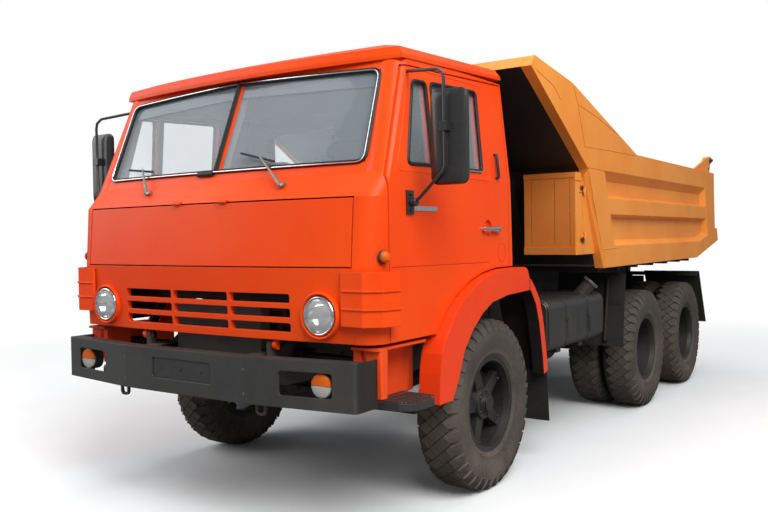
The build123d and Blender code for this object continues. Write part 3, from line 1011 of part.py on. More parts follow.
# ================================================================ steps (root body)
STEP_X = (972.0, 1222.0)
STEP_Y = (FRONT_AXLE_Y - 1060, FRONT_AXLE_Y - 748)
STEP_Z = (662.0, 700.0)
RISER_FOOT_Z = 690.0
with BuildPart() as steps:
    block((958, STEP_X[0]), (FRONT_AXLE_Y - 1165, FRONT_AXLE_Y - 745), (RISER_FOOT_Z, 982))
    block((958, 1118), (FRONT_AXLE_Y - 1185, FRONT_AXLE_Y - 745), (968, 982))
    with BuildSketch(Plane.XY.offset(982)) as leg_top:
        with Locations((1064, FRONT_AXLE_Y - 1130)):
            RectangleRounded(120, 70, 18)
    with BuildSketch(Plane.XY.offset(735)) as leg_foot:
        with Locations((1104, FRONT_AXLE_Y - 1135)):
            RectangleRounded(40, 50, 8)
    loft([leg_top.sketch.face(), leg_foot.sketch.face()], ruled=True)
    block((940, 959), (FRONT_AXLE_Y - 1000, FRONT_AXLE_Y - 900), (RISER_FOOT_Z, 900))
    block((RAIL_OUTER_X + 60, 959), (FRONT_AXLE_Y - 990, FRONT_AXLE_Y - 910), (850, 890))
    block((RAIL_OUTER_X + SEAT_GAP, RAIL_OUTER_X + 61), (FRONT_AXLE_Y - 1010, FRONT_AXLE_Y - 890), (810, 910))
    block((959, 1000), (FRONT_AXLE_Y - 1165, FRONT_AXLE_Y - 1120), (760, 982))
    mirror(about=Plane.YZ)
write(steps, "steps")

with BuildPart() as step_plates:
    plan_prism(((STEP_X[0] + SEAT_GAP, STEP_Y[0] - 20), (STEP_X[1] - 70, STEP_Y[0]), (STEP_X[1], STEP_Y[0] + 60),
                (STEP_X[1], STEP_Y[1] - 90), (STEP_X[0] + SEAT_GAP, STEP_Y[1])), *STEP_Z)
    block((940, STEP_X[0] + 2), (FRONT_AXLE_Y - 1000, FRONT_AXLE_Y - 900), (STEP_Z[0], RISER_FOOT_Z - SEAT_GAP))
    mirror(about=Plane.YZ)
write(step_plates, "step_plates")

# ================================================================ doors
QUARTER_WINDOW = ((-796.0, 2322.0), (-664.0, 2330.0), (-655.0, 1890.0), (-905.0, 1885.0))
MAIN_WINDOW = ((-618.0, 2334.0), (-108.0, 2355.0), (-110.0, 1890.0), (-618.0, 1888.0))
MIRROR_ARM_X = 1350.0
MIRROR_SIZE = (208.0, 470.0)
ARM_RADIUS = 9.0
door_skin = skin(0, DOOR_THICKNESS)
glass_skin = skin(16, 23)
for side, name in ((1, "left"), (-1, "right")):
    x_low, x_high = sorted((side * DOOR_INNER_X, side * OPENING_OUTER_X))
    with BuildPart() as door:
        add(door_skin)
        with BuildPart(mode=Mode.PRIVATE) as door_outline:
            side_prism([(FRONT_AXLE_Y + y, z) for y, z in DOOR_EDGE], x_low, x_high)
            for window in (QUARTER_WINDOW, MAIN_WINDOW):
                side_prism([(FRONT_AXLE_Y + y, z) for y, z in window], x_low, x_high, mode=Mode.SUBTRACT)
        add(door_outline.part, mode=Mode.INTERSECT)
        # scoop behind the handle
        with Locations(Location((side * 1130, FRONT_AXLE_Y - 55, 1560), (0, 90, 0))):
            Cylinder(48, 30, mode=Mode.SUBTRACT)
    write(door, "door_" + name)
    with BuildPart() as door_glass:
        add(glass_skin)
        with BuildPart(mode=Mode.PRIVATE) as door_windows:
            for window in (QUARTER_WINDOW, MAIN_WINDOW):
                side_prism([(FRONT_AXLE_Y + y, z) for y, z in window], x_low, x_high)
        add(door_windows.part, mode=Mode.INTERSECT)
    write(door_glass, "door_glass_" + name)
    with BuildPart() as door_fittings:
        base = (side * (1130 + SEAT_GAP), FRONT_AXLE_Y - 905, 1690)
        low_bend = (side * MIRROR_ARM_X, FRONT_AXLE_Y - 925, 1850)
        high_bend = (side * MIRROR_ARM_X, FRONT_AXLE_Y - 930, 2290)
        crown = (side * (MIRROR_ARM_X - 40), FRONT_AXLE_Y - 920, 2332)
        head = (side * 1082, FRONT_AXLE_Y - 838, 2362)
        x_low, x_high = sorted((side * (1130 + SEAT_GAP), side * 1142))
        block((x_low, x_high), (FRONT_AXLE_Y - 940, FRONT_AXLE_Y - 880), (1630, 1750))
        rod((side * 1141, FRONT_AXLE_Y - 905, 1690), (side * 1172, FRONT_AXLE_Y - 905, 1690), 22)
        rod((side * 1165, FRONT_AXLE_Y - 905, 1690), low_bend, ARM_RADIUS)
        rod(low_bend, high_bend, ARM_RADIUS)
        rod(high_bend, crown, ARM_RADIUS)
        rod(crown, head, ARM_RADIUS)
        with Locations(low_bend, high_bend, crown):
            Sphere(ARM_RADIUS)
        centre_x = side * (MIRROR_ARM_X + 2)
        with BuildSketch(Plane.XZ.offset(-FRONT_AXLE_Y + 905)) as glass_outline:
            with Locations((centre_x, 2004)):
                RectangleRounded(*MIRROR_SIZE, 45)
        extrude(glass_outline.sketch, amount=-42)
        block(sorted((side * (MIRROR_ARM_X - 22), side * (MIRROR_ARM_X + 22))),
              (FRONT_AXLE_Y - 942, FRONT_AXLE_Y - 900), (2025, 2075))
        # door handle lever across its scoop, and the grab rail behind the window
        rod((side * 1150, FRONT_AXLE_Y - 130, 1556), (side * 1150, FRONT_AXLE_Y + 30, 1556), 11)
        for y in (-125, 25):
            rod((side * (1130 + SEAT_GAP), FRONT_AXLE_Y + y, 1556), (side * 1150, FRONT_AXLE_Y + y, 1556), 13)
        rod((side * 1147, FRONT_AXLE_Y + 60, 1850), (side * 1132, FRONT_AXLE_Y + 60, 2010), 9)
        for z, start, end in ((1860, 1127.2, 1146), (2000, 1114.3, 1133)):
            rod((side * start, FRONT_AXLE_Y + 60, z), (side * end, FRONT_AXLE_Y + 60, z), 7)
    write(door_fittings, "door_fittings_" + name)

# ================================================================ bed
SHEET_X = (1180.0, 1192.0)
FLOOR_Z = 1285.0
FLOOR_PLATE = 14.0
TAIL_START_Y = 2409.0
TAIL_TIP = (3350.0, 1430.0)
WALL_FOOT = (-354.0, 1262.0)
WALL_KNEE = (-668.0, 1988.0)
WALL_LIP = (-1622.0, 2560.0)
SIDE_OUTLINE = (WALL_FOOT, WALL_KNEE, WALL_LIP, (-1562.0, 2632.0), (-939.0, 2551.0), (455.0, 2165.0),
                (3169.0, 2165.0), (3209.0, 1565.0), (3304.0, 1565.0), TAIL_TIP, (TAIL_START_Y, 1262.0))
# pressed ribs: width of the sloped flank, then the flat outer face
SIDE_RIBS = (
    (72.0, ((-668.0, 1990.0), (3173.0, 1990.0), (3169.0, 2165.0), (-963.0, 2165.0))),
    (36.0, ((-650.0, 2010.0), (-330.0, 2010.0), (-62.0, 1300.0), (-354.0, 1270.0))),
    (24.0, ((-310.0, 1787.0), (2800.0, 1787.0), (2800.0, 1665.0), (-230.0, 1665.0))),
    (40.0, ((2754.0, 2010.0), (3171.0, 2010.0), (3209.0, 1540.0), (2890.0, 1500.0))),
    (44.0, (WALL_FOOT, (TAIL_START_Y, 1262.0), TAIL_TIP, (3304.0, 1565.0), (2540.0, 1425.0), (-120.0, 1425.0))),
)
# side sheet of the cab guard, folded inwards all round
CHEEK = ((-963.0, 2165.0), WALL_LIP, (-1562.0, 2632.0), (-939.0, 2551.0), (455.0, 2165.0))
CHEEK_FOLD = 40.0
CHEEK_PLATE = 12.0
CROSS_BEAM_YS = (-250.0, 200.0, 650.0, 1100.0, 1550.0, 2000.0, 2340.0)
GATE_PIN = (3190.0, 2310.0)
GATE_PIN_RADIUS = 20.0
GATE_ARM_X = (1130.0, 1160.0)
HOIST_EYE = (1350.0, 1190.0)
HOIST_EYE_HALF = 50.0
HOIST_EYE_BORE = 25.0


def tail_z(y):
    """Height of the underside line along the rising tail."""
    return 1262 + (y - TAIL_START_Y) * (TAIL_TIP[1] - 1262) / (TAIL_TIP[0] - TAIL_START_Y)


def side_face(points, x, grow):
    """Flat outline of the bed's side at a distance from the middle, grown on all edges."""
    with BuildSketch(Plane.YZ.offset(x), mode=Mode.PRIVATE) as outline:
        with BuildLine():
            Polyline(*points, close=True)
        make_face()
        if grow:
            offset(amount=grow, kind=Kind.INTERSECTION, mode=Mode.REPLACE)
    return outline.sketch.face()


with BuildPart() as bed_sides:
    side_prism(SIDE_OUTLINE, *SHEET_X)
    with BuildPart(mode=Mode.PRIVATE) as ribs:
        for flank, points in SIDE_RIBS:
            loft([side_face(points, BED_HALF_WIDTH, 0), side_face(points, SHEET_X[1] - 1, flank)], ruled=True)
        side_prism(SIDE_OUTLINE, SHEET_X[1] - 1, BED_HALF_WIDTH, mode=Mode.INTERSECT)
    add(ribs.part)
    extrude(side_face(CHEEK, SHEET_X[0], 0), amount=BED_HALF_WIDTH - SHEET_X[0])
    extrude(side_face(CHEEK, SHEET_X[0] - 1, -CHEEK_FOLD), amount=BED_HALF_WIDTH - CHEEK_PLATE - SHEET_X[0] + 1,
            mode=Mode.SUBTRACT)
    # tailgate bracket on the top rail, with its pin pointing inwards
    side_prism(((2480, 2164), (3174, 2164), (GATE_PIN[0] + 30, GATE_PIN[1] - 40), GATE_PIN,
                (GATE_PIN[0] - 60, GATE_PIN[1] + 38), (GATE_PIN[0] - 120, GATE_PIN[1] + 20)), 1182, 1200)
    with Locations(Location((1182, GATE_PIN[0], GATE_PIN[1]), (0, 90, 0))):
        Cylinder(45, 22, align=(Align.CENTER, Align.CENTER, Align.MIN))
    rod((GATE_ARM_X[0] - 6, GATE_PIN[0], GATE_PIN[1]), (1183, GATE_PIN[0], GATE_PIN[1]), GATE_PIN_RADIUS)
    mirror(about=Plane.YZ)
write(bed_sides, "bed_sides")

with BuildPart() as bed_floor:
    inside = SHEET_X[0] - SEAT_GAP
    side_prism(((-352, FLOOR_Z), (TAIL_START_Y, FLOOR_Z), (TAIL_TIP[0] - 20, tail_z(TAIL_TIP[0] - 20) + 12),
                (TAIL_TIP[0] - 20, tail_z(TAIL_TIP[0] - 20) + 12 + FLOOR_PLATE), (TAIL_START_Y, FLOOR_Z + FLOOR_PLATE),
                (-320, FLOOR_Z + FLOOR_PLATE)), -inside, inside)
    for side in (1, -1):
        low, high = sorted((side * (SUBFRAME_X - 40), side * (SUBFRAME_X + 40)))
        block((low, high), (-350, 2640), (SUBFRAME_TOP_Z + SEAT_GAP, FLOOR_Z + 1))
        for y in CROSS_BEAM_YS:
            low, high = sorted((side * (SUBFRAME_X + 39), side * inside))
            block((low, high), (y - 35, y + 35), (FLOOR_Z - 55, FLOOR_Z + 1))
        # hinge brackets either side of each ear, with the pin through them
        for start in (SUBFRAME_X + HINGE_EAR_THICKNESS / 2 + SEAT_GAP, SUBFRAME_X - HINGE_EAR_THICKNESS / 2 - 20.3):
            low, high = sorted((side * start, side * (start + 20)))
            side_prism(((BED_HINGE_Y - 36, BED_HINGE_Z), (BED_HINGE_Y + 36, BED_HINGE_Z),
                        (BED_HINGE_Y + 130, tail_z(BED_HINGE_Y + 130) + 20),
                        (BED_HINGE_Y - 160, tail_z(BED_HINGE_Y - 160) + 20)), low, high)
            with Locations(Location(((low + high) / 2, BED_HINGE_Y, BED_HINGE_Z), (0, 90, 0))):
                Cylinder(36, high - low)
        rod((side * (SUBFRAME_X - 32), BED_HINGE_Y, BED_HINGE_Z), (side * (SUBFRAME_X + 32), BED_HINGE_Y, BED_HINGE_Z),
            HINGE_PIN_RADIUS)
        # cheeks for the hoist's eye
        low, high = sorted((side * HOIST_EYE_HALF, side * (HOIST_EYE_HALF + 16)))
        side_prism(((HOIST_EYE[0] - 45, HOIST_EYE[1]), (HOIST_EYE[0] + 45, HOIST_EYE[1]),
                    (HOIST_EYE[0] + 150, FLOOR_Z + 1), (HOIST_EYE[0] - 150, FLOOR_Z + 1)), low, high)
        with Locations(Location(((low + high) / 2, *HOIST_EYE), (0, 90, 0))):
            Cylinder(45, high - low)
    with Locations(Location((0, *HOIST_EYE), (0, 90, 0))):
        Cylinder(HOIST_EYE_BORE, 200, mode=Mode.SUBTRACT)
write(bed_floor, "bed_floor")

WALL_FACE_FOOT = (WALL_FOOT[0] - 12, FLOOR_Z + 2)
with BuildPart() as bed_front:
    inside = SHEET_X[0] - SEAT_GAP
    side_prism((WALL_FACE_FOOT, WALL_KNEE, WALL_LIP, (WALL_LIP[0] + 10, WALL_LIP[1] + 14),
                (WALL_KNEE[0] + 13, WALL_KNEE[1] + 12), (WALL_FOOT[0] + 2, FLOOR_Z + 6)), -inside, inside)
    side_prism((WALL_LIP, (WALL_LIP[0] + 60, WALL_LIP[1] + 72), (WALL_LIP[0] + 72, WALL_LIP[1] + 60),
                (WALL_LIP[0] + 30, WALL_LIP[1] + 4)), -inside, inside)
    for x in (-640, 0, 640):
        side_prism(((WALL_FOOT[0] - 10, FLOOR_Z + 2), (WALL_FOOT[0] - 50, FLOOR_Z + 20),
                    (WALL_KNEE[0] - 50, WALL_KNEE[1] - 20), (WALL_LIP[0] - 0, WALL_LIP[1] - 0),
                    (WALL_KNEE[0] + 1, WALL_KNEE[1] + 1)), x - 30, x + 30)
write(bed_front, "bed_front")

BOX_X = (805.0, 1200.0)
BOX_Z = (1371.0, 1957.0)
BOX_FRONT_Y = -776.0
BOX_SHEET = 12.0
LID_EDGE_Y = -652.0
LID_HINGE = (1215.0, -640.0)
LID_HINGE_ZS = (1500.0, 1830.0)


def wall_y(z, clear):
    """Y of the bed's front wall at a height, less a clearance."""
    share = (z - WALL_FACE_FOOT[1]) / (WALL_KNEE[1] - WALL_FACE_FOOT[1])
    return WALL_FACE_FOOT[0] + (WALL_KNEE[0] - WALL_FACE_FOOT[0]) * share - clear


with BuildPart() as toolboxes:
    low, high = BOX_Z
    side_prism(((BOX_FRONT_Y + BOX_SHEET + 2, low), (BOX_FRONT_Y + BOX_SHEET + 2, high),
                (wall_y(high, 0.4), high), (wall_y(low, 0.4), low)), *BOX_X)
    side_prism(((BOX_FRONT_Y - 1, low + BOX_SHEET), (BOX_FRONT_Y - 1, high - BOX_SHEET),
                (wall_y(high - BOX_SHEET, BOX_SHEET), high - BOX_SHEET),
                (wall_y(low + BOX_SHEET, BOX_SHEET), low + BOX_SHEET)),
               BOX_X[0] + BOX_SHEET, BOX_X[1] - BOX_SHEET, mode=Mode.SUBTRACT)
    block((BOX_X[1] - BOX_SHEET - 2, BOX_X[1] + 1), (BOX_FRONT_Y, LID_EDGE_Y + 8), (low - 1, high + 1),
          mode=Mode.SUBTRACT)
    for z in LID_HINGE_ZS:
        rod((*LID_HINGE, z - 30), (*LID_HINGE, z + 30), 5)
        for start in (z - 30, z + 16):
            block((BOX_X[1] - 4, LID_HINGE[0]), (LID_HINGE[1], LID_HINGE[1] + 22), (start, start + 14))
            with Locations((*LID_HINGE, start + 7)):
                Cylinder(9, 14)
    mirror(about=Plane.YZ)
write(toolboxes, "toolboxes")

for side, name in ((1, "left"), (-1, "right")):
    with BuildPart() as lid:
        low, high = BOX_Z
        block(sorted((side * BOX_X[0], side * BOX_X[1])), (BOX_FRONT_Y, BOX_FRONT_Y + BOX_SHEET), (low, high))
        side_prism(((BOX_FRONT_Y, low), (BOX_FRONT_Y, high), (LID_EDGE_Y - 26, high), (LID_EDGE_Y, high - 72),
                    (LID_EDGE_Y, low)), *sorted((side * (BOX_X[1] - BOX_SHEET), side * BOX_X[1])))
        for band_low, band_high in ((low, low + 75), (high - 60, high)):
            block(sorted((side * BOX_X[0], side * (BOX_X[1] + 4))), (BOX_FRONT_Y - 5, BOX_FRONT_Y + 1),
                  (band_low, band_high))
            block(sorted((side * (BOX_X[1] - 1), side * (BOX_X[1] + 4))), (BOX_FRONT_Y - 5, LID_EDGE_Y - 28),
                  (band_low, band_high))
        hinge_x = side * LID_HINGE[0]
        for z in LID_HINGE_ZS:
            block(sorted((side * (BOX_X[1] - 1), side * (BOX_X[1] + 6))), (LID_EDGE_Y - 60, LID_EDGE_Y),
                  (z - 15, z + 15))
            block(sorted((side * (BOX_X[1] + 5), side * LID_HINGE[0])), (LID_EDGE_Y - 10, LID_HINGE[1]),
                  (z - 15, z + 15))
            with Locations((hinge_x, LID_HINGE[1], z)):
                Cylinder(9, 30)
                Cylinder(5 + SEAT_GAP, 40, mode=Mode.SUBTRACT)
    write(lid, "toolbox_lid_" + name)

with BuildPart() as tailgate:
    side_prism(((3178, 2150), (3192, 2150), (3276, 1470), (3262, 1470)), -1168, 1168)
    # frame and ribs pressed out of the sheet
    for x_low, x_high in ((-1168, -1090), (1090, 1168), (-420, -340), (340, 420)):
        side_prism(((3190, 2150), (3230, 2140), (3308, 1490), (3274, 1470)), x_low, x_high)
    for top_z, bottom_z in ((2150, 2080), (1860, 1790), (1545, 1470)):
        shift_top = 3191 + (2150 - top_z) * 84 / 680
        shift_bottom = 3191 + (2150 - bottom_z) * 84 / 680
        side_prism(((shift_top, top_z), (shift_top + 34, top_z - 8), (shift_bottom + 34, bottom_z + 8),
                    (shift_bottom, bottom_z)), -1168, 1168)
    for side in (1, -1):
        low, high = sorted((side * GATE_ARM_X[0], side * GATE_ARM_X[1]))
        side_prism(((GATE_PIN[0] - 30, GATE_PIN[1]), (GATE_PIN[0] + 40, GATE_PIN[1]), (3228, 2100), (3184, 2100)),
                   low, high)
        with Locations(Location(((low + high) / 2, *GATE_PIN), (0, 90, 0))):
            Cylinder(40, high - low)
            Cylinder(GATE_PIN_RADIUS + SEAT_GAP, 200, mode=Mode.SUBTRACT)
write(tailgate, "tailgate")

# ================================================================ hoist
hoist_span = (HOIST_EYE[0] - HOIST_BASE_Y, HOIST_EYE[1] - HOIST_BASE_Z)
HOIST_LENGTH = hypot(*hoist_span)
HOIST_ANGLE = atan2(hoist_span[1], hoist_span[0])
# tube radius and how far its top stands short of the eye
HOIST_TUBES = (("hoist_barrel", 85.0, 170.0), ("hoist_stage_1", 66.0, 120.0), ("hoist_stage_2", 48.0, 0.0))


def on_hoist(distance):
    """Point on the hoist's axis at a distance from its trunnion."""
    return (0.0, HOIST_BASE_Y + distance * cos(HOIST_ANGLE), HOIST_BASE_Z + distance * sin(HOIST_ANGLE))


for index, (name, radius, short) in enumerate(HOIST_TUBES):
    with BuildPart() as tube:
        wall_end = HOIST_LENGTH - short
        start = 30.0 + 12.0 * index if index else -80.0
        if index < 2:
            rod(on_hoist(start), on_hoist(wall_end), radius)
            rod(on_hoist(wall_end - 40), on_hoist(wall_end), radius + 8)
            next_radius = HOIST_TUBES[index + 1][1]
            rod(on_hoist(30.0 + 12.0 * (index + 1) - SEAT_GAP), on_hoist(wall_end + 1), next_radius + SEAT_GAP,
                mode=Mode.SUBTRACT)
        else:
            rod(on_hoist(start), on_hoist(HOIST_LENGTH - 20), radius)
            with Locations(Location((0, *HOIST_EYE), (0, 90, 0))):
                Cylinder(45, 2 * HOIST_EYE_HALF - 2 * SEAT_GAP)
                Cylinder(HOIST_EYE_BORE, 200, mode=Mode.SUBTRACT)
        if index == 0:
            rod((-HOIST_TRUNNION_X - 40, HOIST_BASE_Y, HOIST_BASE_Z), (HOIST_TRUNNION_X + 40, HOIST_BASE_Y, HOIST_BASE_Z),
                HOIST_TRUNNION_RADIUS)
            rod(on_hoist(30.0 + 12.0 - SEAT_GAP), on_hoist(HOIST_LENGTH), HOIST_TUBES[1][1] + SEAT_GAP, mode=Mode.SUBTRACT)
    write(tube, name)

# ================================================================ lamps on the chassis
FRONT_LAMP = (900.0, -3272.0, 812.0)
TAIL_LAMP_Y = REAR_FLAP[0][0] + 6 + SEAT_GAP
with BuildPart() as chassis_lamps:
    rod(FRONT_LAMP, (FRONT_LAMP[0], FRONT_LAMP[1] + 60, FRONT_LAMP[2]), 66)
    block((FRONT_LAMP[0] - 15, FRONT_LAMP[0] + 15), (FRONT_LAMP[1] + 27, FRONT_LAMP[1] + 55),
          (870, BUMPER_TOP_Z - BUMPER_PLATE - SEAT_GAP))
    block((RAIL_OUTER_X + 8, 600), (TAIL_LAMP_Y, TAIL_LAMP_Y + 70), (945, 1050))
    mirror(about=Plane.YZ)
write(chassis_lamps, "chassis_lamps")
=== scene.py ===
"""Dressed scene of a cab-over dump truck: finishes, tread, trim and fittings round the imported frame.

The row frame is in metres: +X to the truck's left, +Y rearwards, +Z up, the origin on the ground.
"""

import json
import logging
import math
from dataclasses import dataclass, field
from enum import Enum
from typing import Callable, Iterable, Optional, Sequence

import bpy
from mathutils import Matrix, Vector

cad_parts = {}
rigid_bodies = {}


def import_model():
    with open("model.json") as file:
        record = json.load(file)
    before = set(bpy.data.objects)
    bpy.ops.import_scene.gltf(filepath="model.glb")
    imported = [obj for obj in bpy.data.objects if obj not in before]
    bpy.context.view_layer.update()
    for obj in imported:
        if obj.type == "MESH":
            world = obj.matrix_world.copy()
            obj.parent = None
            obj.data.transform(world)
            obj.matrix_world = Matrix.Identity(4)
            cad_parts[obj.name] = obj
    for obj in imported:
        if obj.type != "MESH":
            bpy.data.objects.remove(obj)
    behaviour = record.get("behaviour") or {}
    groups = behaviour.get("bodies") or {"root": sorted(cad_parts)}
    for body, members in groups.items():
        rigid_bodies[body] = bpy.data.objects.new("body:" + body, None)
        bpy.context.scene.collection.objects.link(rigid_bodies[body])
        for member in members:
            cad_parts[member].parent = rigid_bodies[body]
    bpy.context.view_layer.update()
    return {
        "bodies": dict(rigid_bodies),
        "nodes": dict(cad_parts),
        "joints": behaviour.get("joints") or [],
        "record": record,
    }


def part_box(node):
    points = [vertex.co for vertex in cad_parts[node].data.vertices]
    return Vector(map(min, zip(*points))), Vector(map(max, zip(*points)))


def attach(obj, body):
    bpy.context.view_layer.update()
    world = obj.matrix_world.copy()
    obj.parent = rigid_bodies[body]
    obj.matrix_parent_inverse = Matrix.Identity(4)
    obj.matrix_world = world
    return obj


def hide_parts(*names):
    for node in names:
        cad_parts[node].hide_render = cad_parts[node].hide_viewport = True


LOG = logging.getLogger("dump_truck")
FRONT_AXLE_Y = -1.926
REAR_AXLES_Y = (0.914, 2.234)
AXLE_Z = 0.509
SIDES = (("left", 1.0), ("right", -1.0))
ACROSS, ALONG, UP = (1, 0, 0), (0, 1, 0), (0, 0, 1)
WAIST_Z = 1.838                         # the cab leans in above this height
SHARP_ANGLE, BEVEL_ANGLE = math.radians(35), math.radians(40)

Point = tuple[float, float, float]
Flat = tuple[float, float]
Socket = bpy.types.NodeSocket


# ---------------------------------------------------------------- shader trees
class Tree:
    """Short way to add and join the nodes of one shader tree."""

    def __init__(self, tree: bpy.types.NodeTree) -> None:
        """Keep the tree that nodes are added to."""
        self.tree = tree

    def put(self, socket: Socket, value: object) -> None:
        """Link an output to an input, or set the input's own value.

        Args:
            socket: The input.
            value: An output, a number, a colour or None to leave the input alone.
        """
        if isinstance(value, bpy.types.NodeSocket):
            self.tree.links.new(value, socket)
        elif value is not None:
            socket.default_value = (*value[:3], 1.0) if socket.type == "RGBA" else value

    def feed(self, node: bpy.types.Node, **inputs: object) -> None:
        """Link or set a node's inputs, with blanks in their names written as underscores."""
        for key, value in inputs.items():
            self.put(node.inputs[key.replace("_", " ")], value)

    def add(self, kind: str, **settings: object) -> bpy.types.Node:
        """Add a node and set its properties, or its inputs where a name matches one.

        Args:
            kind: Node type without its ShaderNode prefix.
            settings: Properties, or inputs with blanks written as underscores.

        Returns:
            The new node.
        """
        node = self.tree.nodes.new("ShaderNode" + kind)
        for key, value in settings.items():
            if hasattr(node, key):
                setattr(node, key, value)
            else:
                self.feed(node, **{key: value})
        return node

    def maths(self, operation: str, first: object, *others: object) -> Socket:
        """Chain a Math operation over sockets or numbers.

        Args:
            operation: Name of the operation.
            first: First operand.
            others: The further operands, none for an operation on one.

        Returns:
            The result's socket.
        """
        for second in others or (None,):
            node = self.add("Math", operation=operation)
            self.put(node.inputs[0], first)
            self.put(node.inputs[1], second)
            first = node.outputs[0]
        return first

    def product(self, *values: object) -> Socket:
        """Multiply sockets or numbers."""
        return self.maths("MULTIPLY", *values)

    def total(self, *values: object) -> Socket:
        """Add up sockets or numbers."""
        return self.maths("ADD", *values)

    def ramp(self, value: Socket, low: float, high: float) -> Socket:
        """Stretch a value from a low and high limit to 0 and 1, held at both ends."""
        return self.add("MapRange", clamp=True, Value=value, From_Min=low, From_Max=high).outputs["Result"]

    def mix(self, share: object, first: object, second: object) -> Socket:
        """Mix two colours, by the share of the second that shows.

        Args:
            share: How much of the second shows.
            first: Socket or colour.
            second: Socket or colour.

        Returns:
            The mixed colour's socket.
        """
        node = self.add("Mix", data_type="RGBA")
        for index, value in ((0, share), (6, first), (7, second)):
            self.put(node.inputs[index], value)
        return node.outputs[2]

    def noise(self, place: Socket, scale: float, detail: float = 4.0, rough: float = 0.55) -> Socket:
        """Add a noise texture.

        Args:
            place: Coordinates.
            scale: Size of the pattern, larger is finer.
            detail: Octaves.
            rough: Roughness of the octaves.

        Returns:
            The noise value's socket.
        """
        return self.add("TexNoise", Scale=scale, Detail=detail, Roughness=rough, Vector=place).outputs[0]

    def bump(self, strength: float, distance: float, height: Socket, normal: Optional[Socket] = None) -> Socket:
        """Add a Bump node and return its normal."""
        return self.add("Bump", Strength=strength, Distance=distance, Height=height, Normal=normal).outputs[0]

    def place(self) -> Socket:
        """Coordinates of the object itself."""
        return self.add("TexCoord").outputs["Object"]

    def dust(self, amount: float, height: float) -> Socket:
        """Road dust's share, by its amount and the height it reaches."""
        group = node_group("road_dust", {"Amount": 0.5, "Height": 1.2}, {"Dust": "Float"}, road_dust)
        return self.add("Group", node_tree=group, Amount=amount, Height=height).outputs["Dust"]


def node_group(name: str, inputs: dict[str, float], outputs: dict[str, str],
               fill: Callable[[Tree, bpy.types.Node], dict[str, Socket]]) -> bpy.types.NodeTree:
    """Make a node group, or return it if it is there already.

    Args:
        name: The group's name.
        inputs: Default of each float input.
        outputs: Kind of each output.
        fill: Builds the nodes and gives each output's socket.

    Returns:
        The group.
    """
    found = bpy.data.node_groups.get(name)
    if found:
        return found
    tree = bpy.data.node_groups.new(name, "ShaderNodeTree")
    for key, value in inputs.items():
        tree.interface.new_socket(name=key, in_out="INPUT", socket_type="NodeSocketFloat").default_value = value
    for key, kind in outputs.items():
        tree.interface.new_socket(name=key, in_out="OUTPUT", socket_type="NodeSocket" + kind)
    work = Tree(tree)
    entry, leave = tree.nodes.new("NodeGroupInput"), tree.nodes.new("NodeGroupOutput")
    work.feed(leave, **fill(work, entry))
    return tree


def road_dust(work: Tree, entry: bpy.types.Node) -> dict[str, Socket]:
    """Lay road dust on a surface: thicker low down and in patches.

    Args:
        work: The group's tree.
        entry: Node that holds the group's inputs.

    Returns:
        The socket of each output.
    """
    place = work.place()
    split = work.add("SeparateXYZ", Vector=place)
    low = work.maths("SUBTRACT", 1.15, work.maths("DIVIDE", split.outputs["Z"], entry.outputs["Height"]))
    patches = work.ramp(work.noise(place, 3.2, 8.0, 0.62), 0.34, 0.7)
    speckle = work.ramp(work.noise(place, 46.0, 5.0, 0.7), 0.42, 0.74)
    film = work.total(work.product(patches, 0.75), work.product(speckle, 0.35))
    dust = work.product(film, work.maths("MAXIMUM", low, 0.12), entry.outputs["Amount"])
    return {"Dust": work.add("Clamp", Value=dust).outputs[0]}


def edge_wear(work: Tree, entry: bpy.types.Node) -> dict[str, Socket]:
    """Find a form's rounded edges and break them up into chips.

    Args:
        work: The group's tree.
        entry: Node that holds the group's inputs.

    Returns:
        The socket of each output.
    """
    rounded_normal = work.add("Bevel", samples=4, Radius=0.006).outputs[0]
    dot = work.add("VectorMath", operation="DOT_PRODUCT")
    work.put(dot.inputs[0], rounded_normal)
    work.put(dot.inputs[1], work.add("NewGeometry").outputs["Normal"])
    edge = work.ramp(dot.outputs["Value"], 0.995, 0.80)
    broken = work.ramp(work.noise(work.place(), 19.0, 8.0, 0.7), 0.5, 0.62)
    return {"Chips": work.product(edge, broken, entry.outputs["Amount"]), "Normal": rounded_normal}


def blank_material(name: str) -> tuple[bpy.types.Material, Tree, bpy.types.Node]:
    """Make a material with nodes.

    Args:
        name: Its name.

    Returns:
        The material, its tree and its shader.
    """
    made = bpy.data.materials.new(name)
    made.use_nodes = True
    return made, Tree(made.node_tree), made.node_tree.nodes["Principled BSDF"]


def scaled(colour: Point, factor: float) -> Point:
    """A colour made lighter or darker."""
    return tuple(factor * c for c in colour)


# ---------------------------------------------------------------- finishes
@dataclass(frozen=True)
class Surface:
    """What all finishes share: one material of their name, made once."""

    name: str
    colour: Point

    def paint(self, work: Tree, shader: bpy.types.Node, place: Socket) -> None:
        """Join the finish's own nodes to the shader.

        Args:
            work: The material's tree.
            shader: Its shader.
            place: Coordinates of the object.
        """
        raise NotImplementedError

    def material(self) -> bpy.types.Material:
        """Build the material, or return it if it is there already.

        Returns:
            The material.
        """
        found = bpy.data.materials.get(self.name)
        if found:
            return found
        made, work, shader = blank_material(self.name)
        self.paint(work, shader, work.place())
        return made


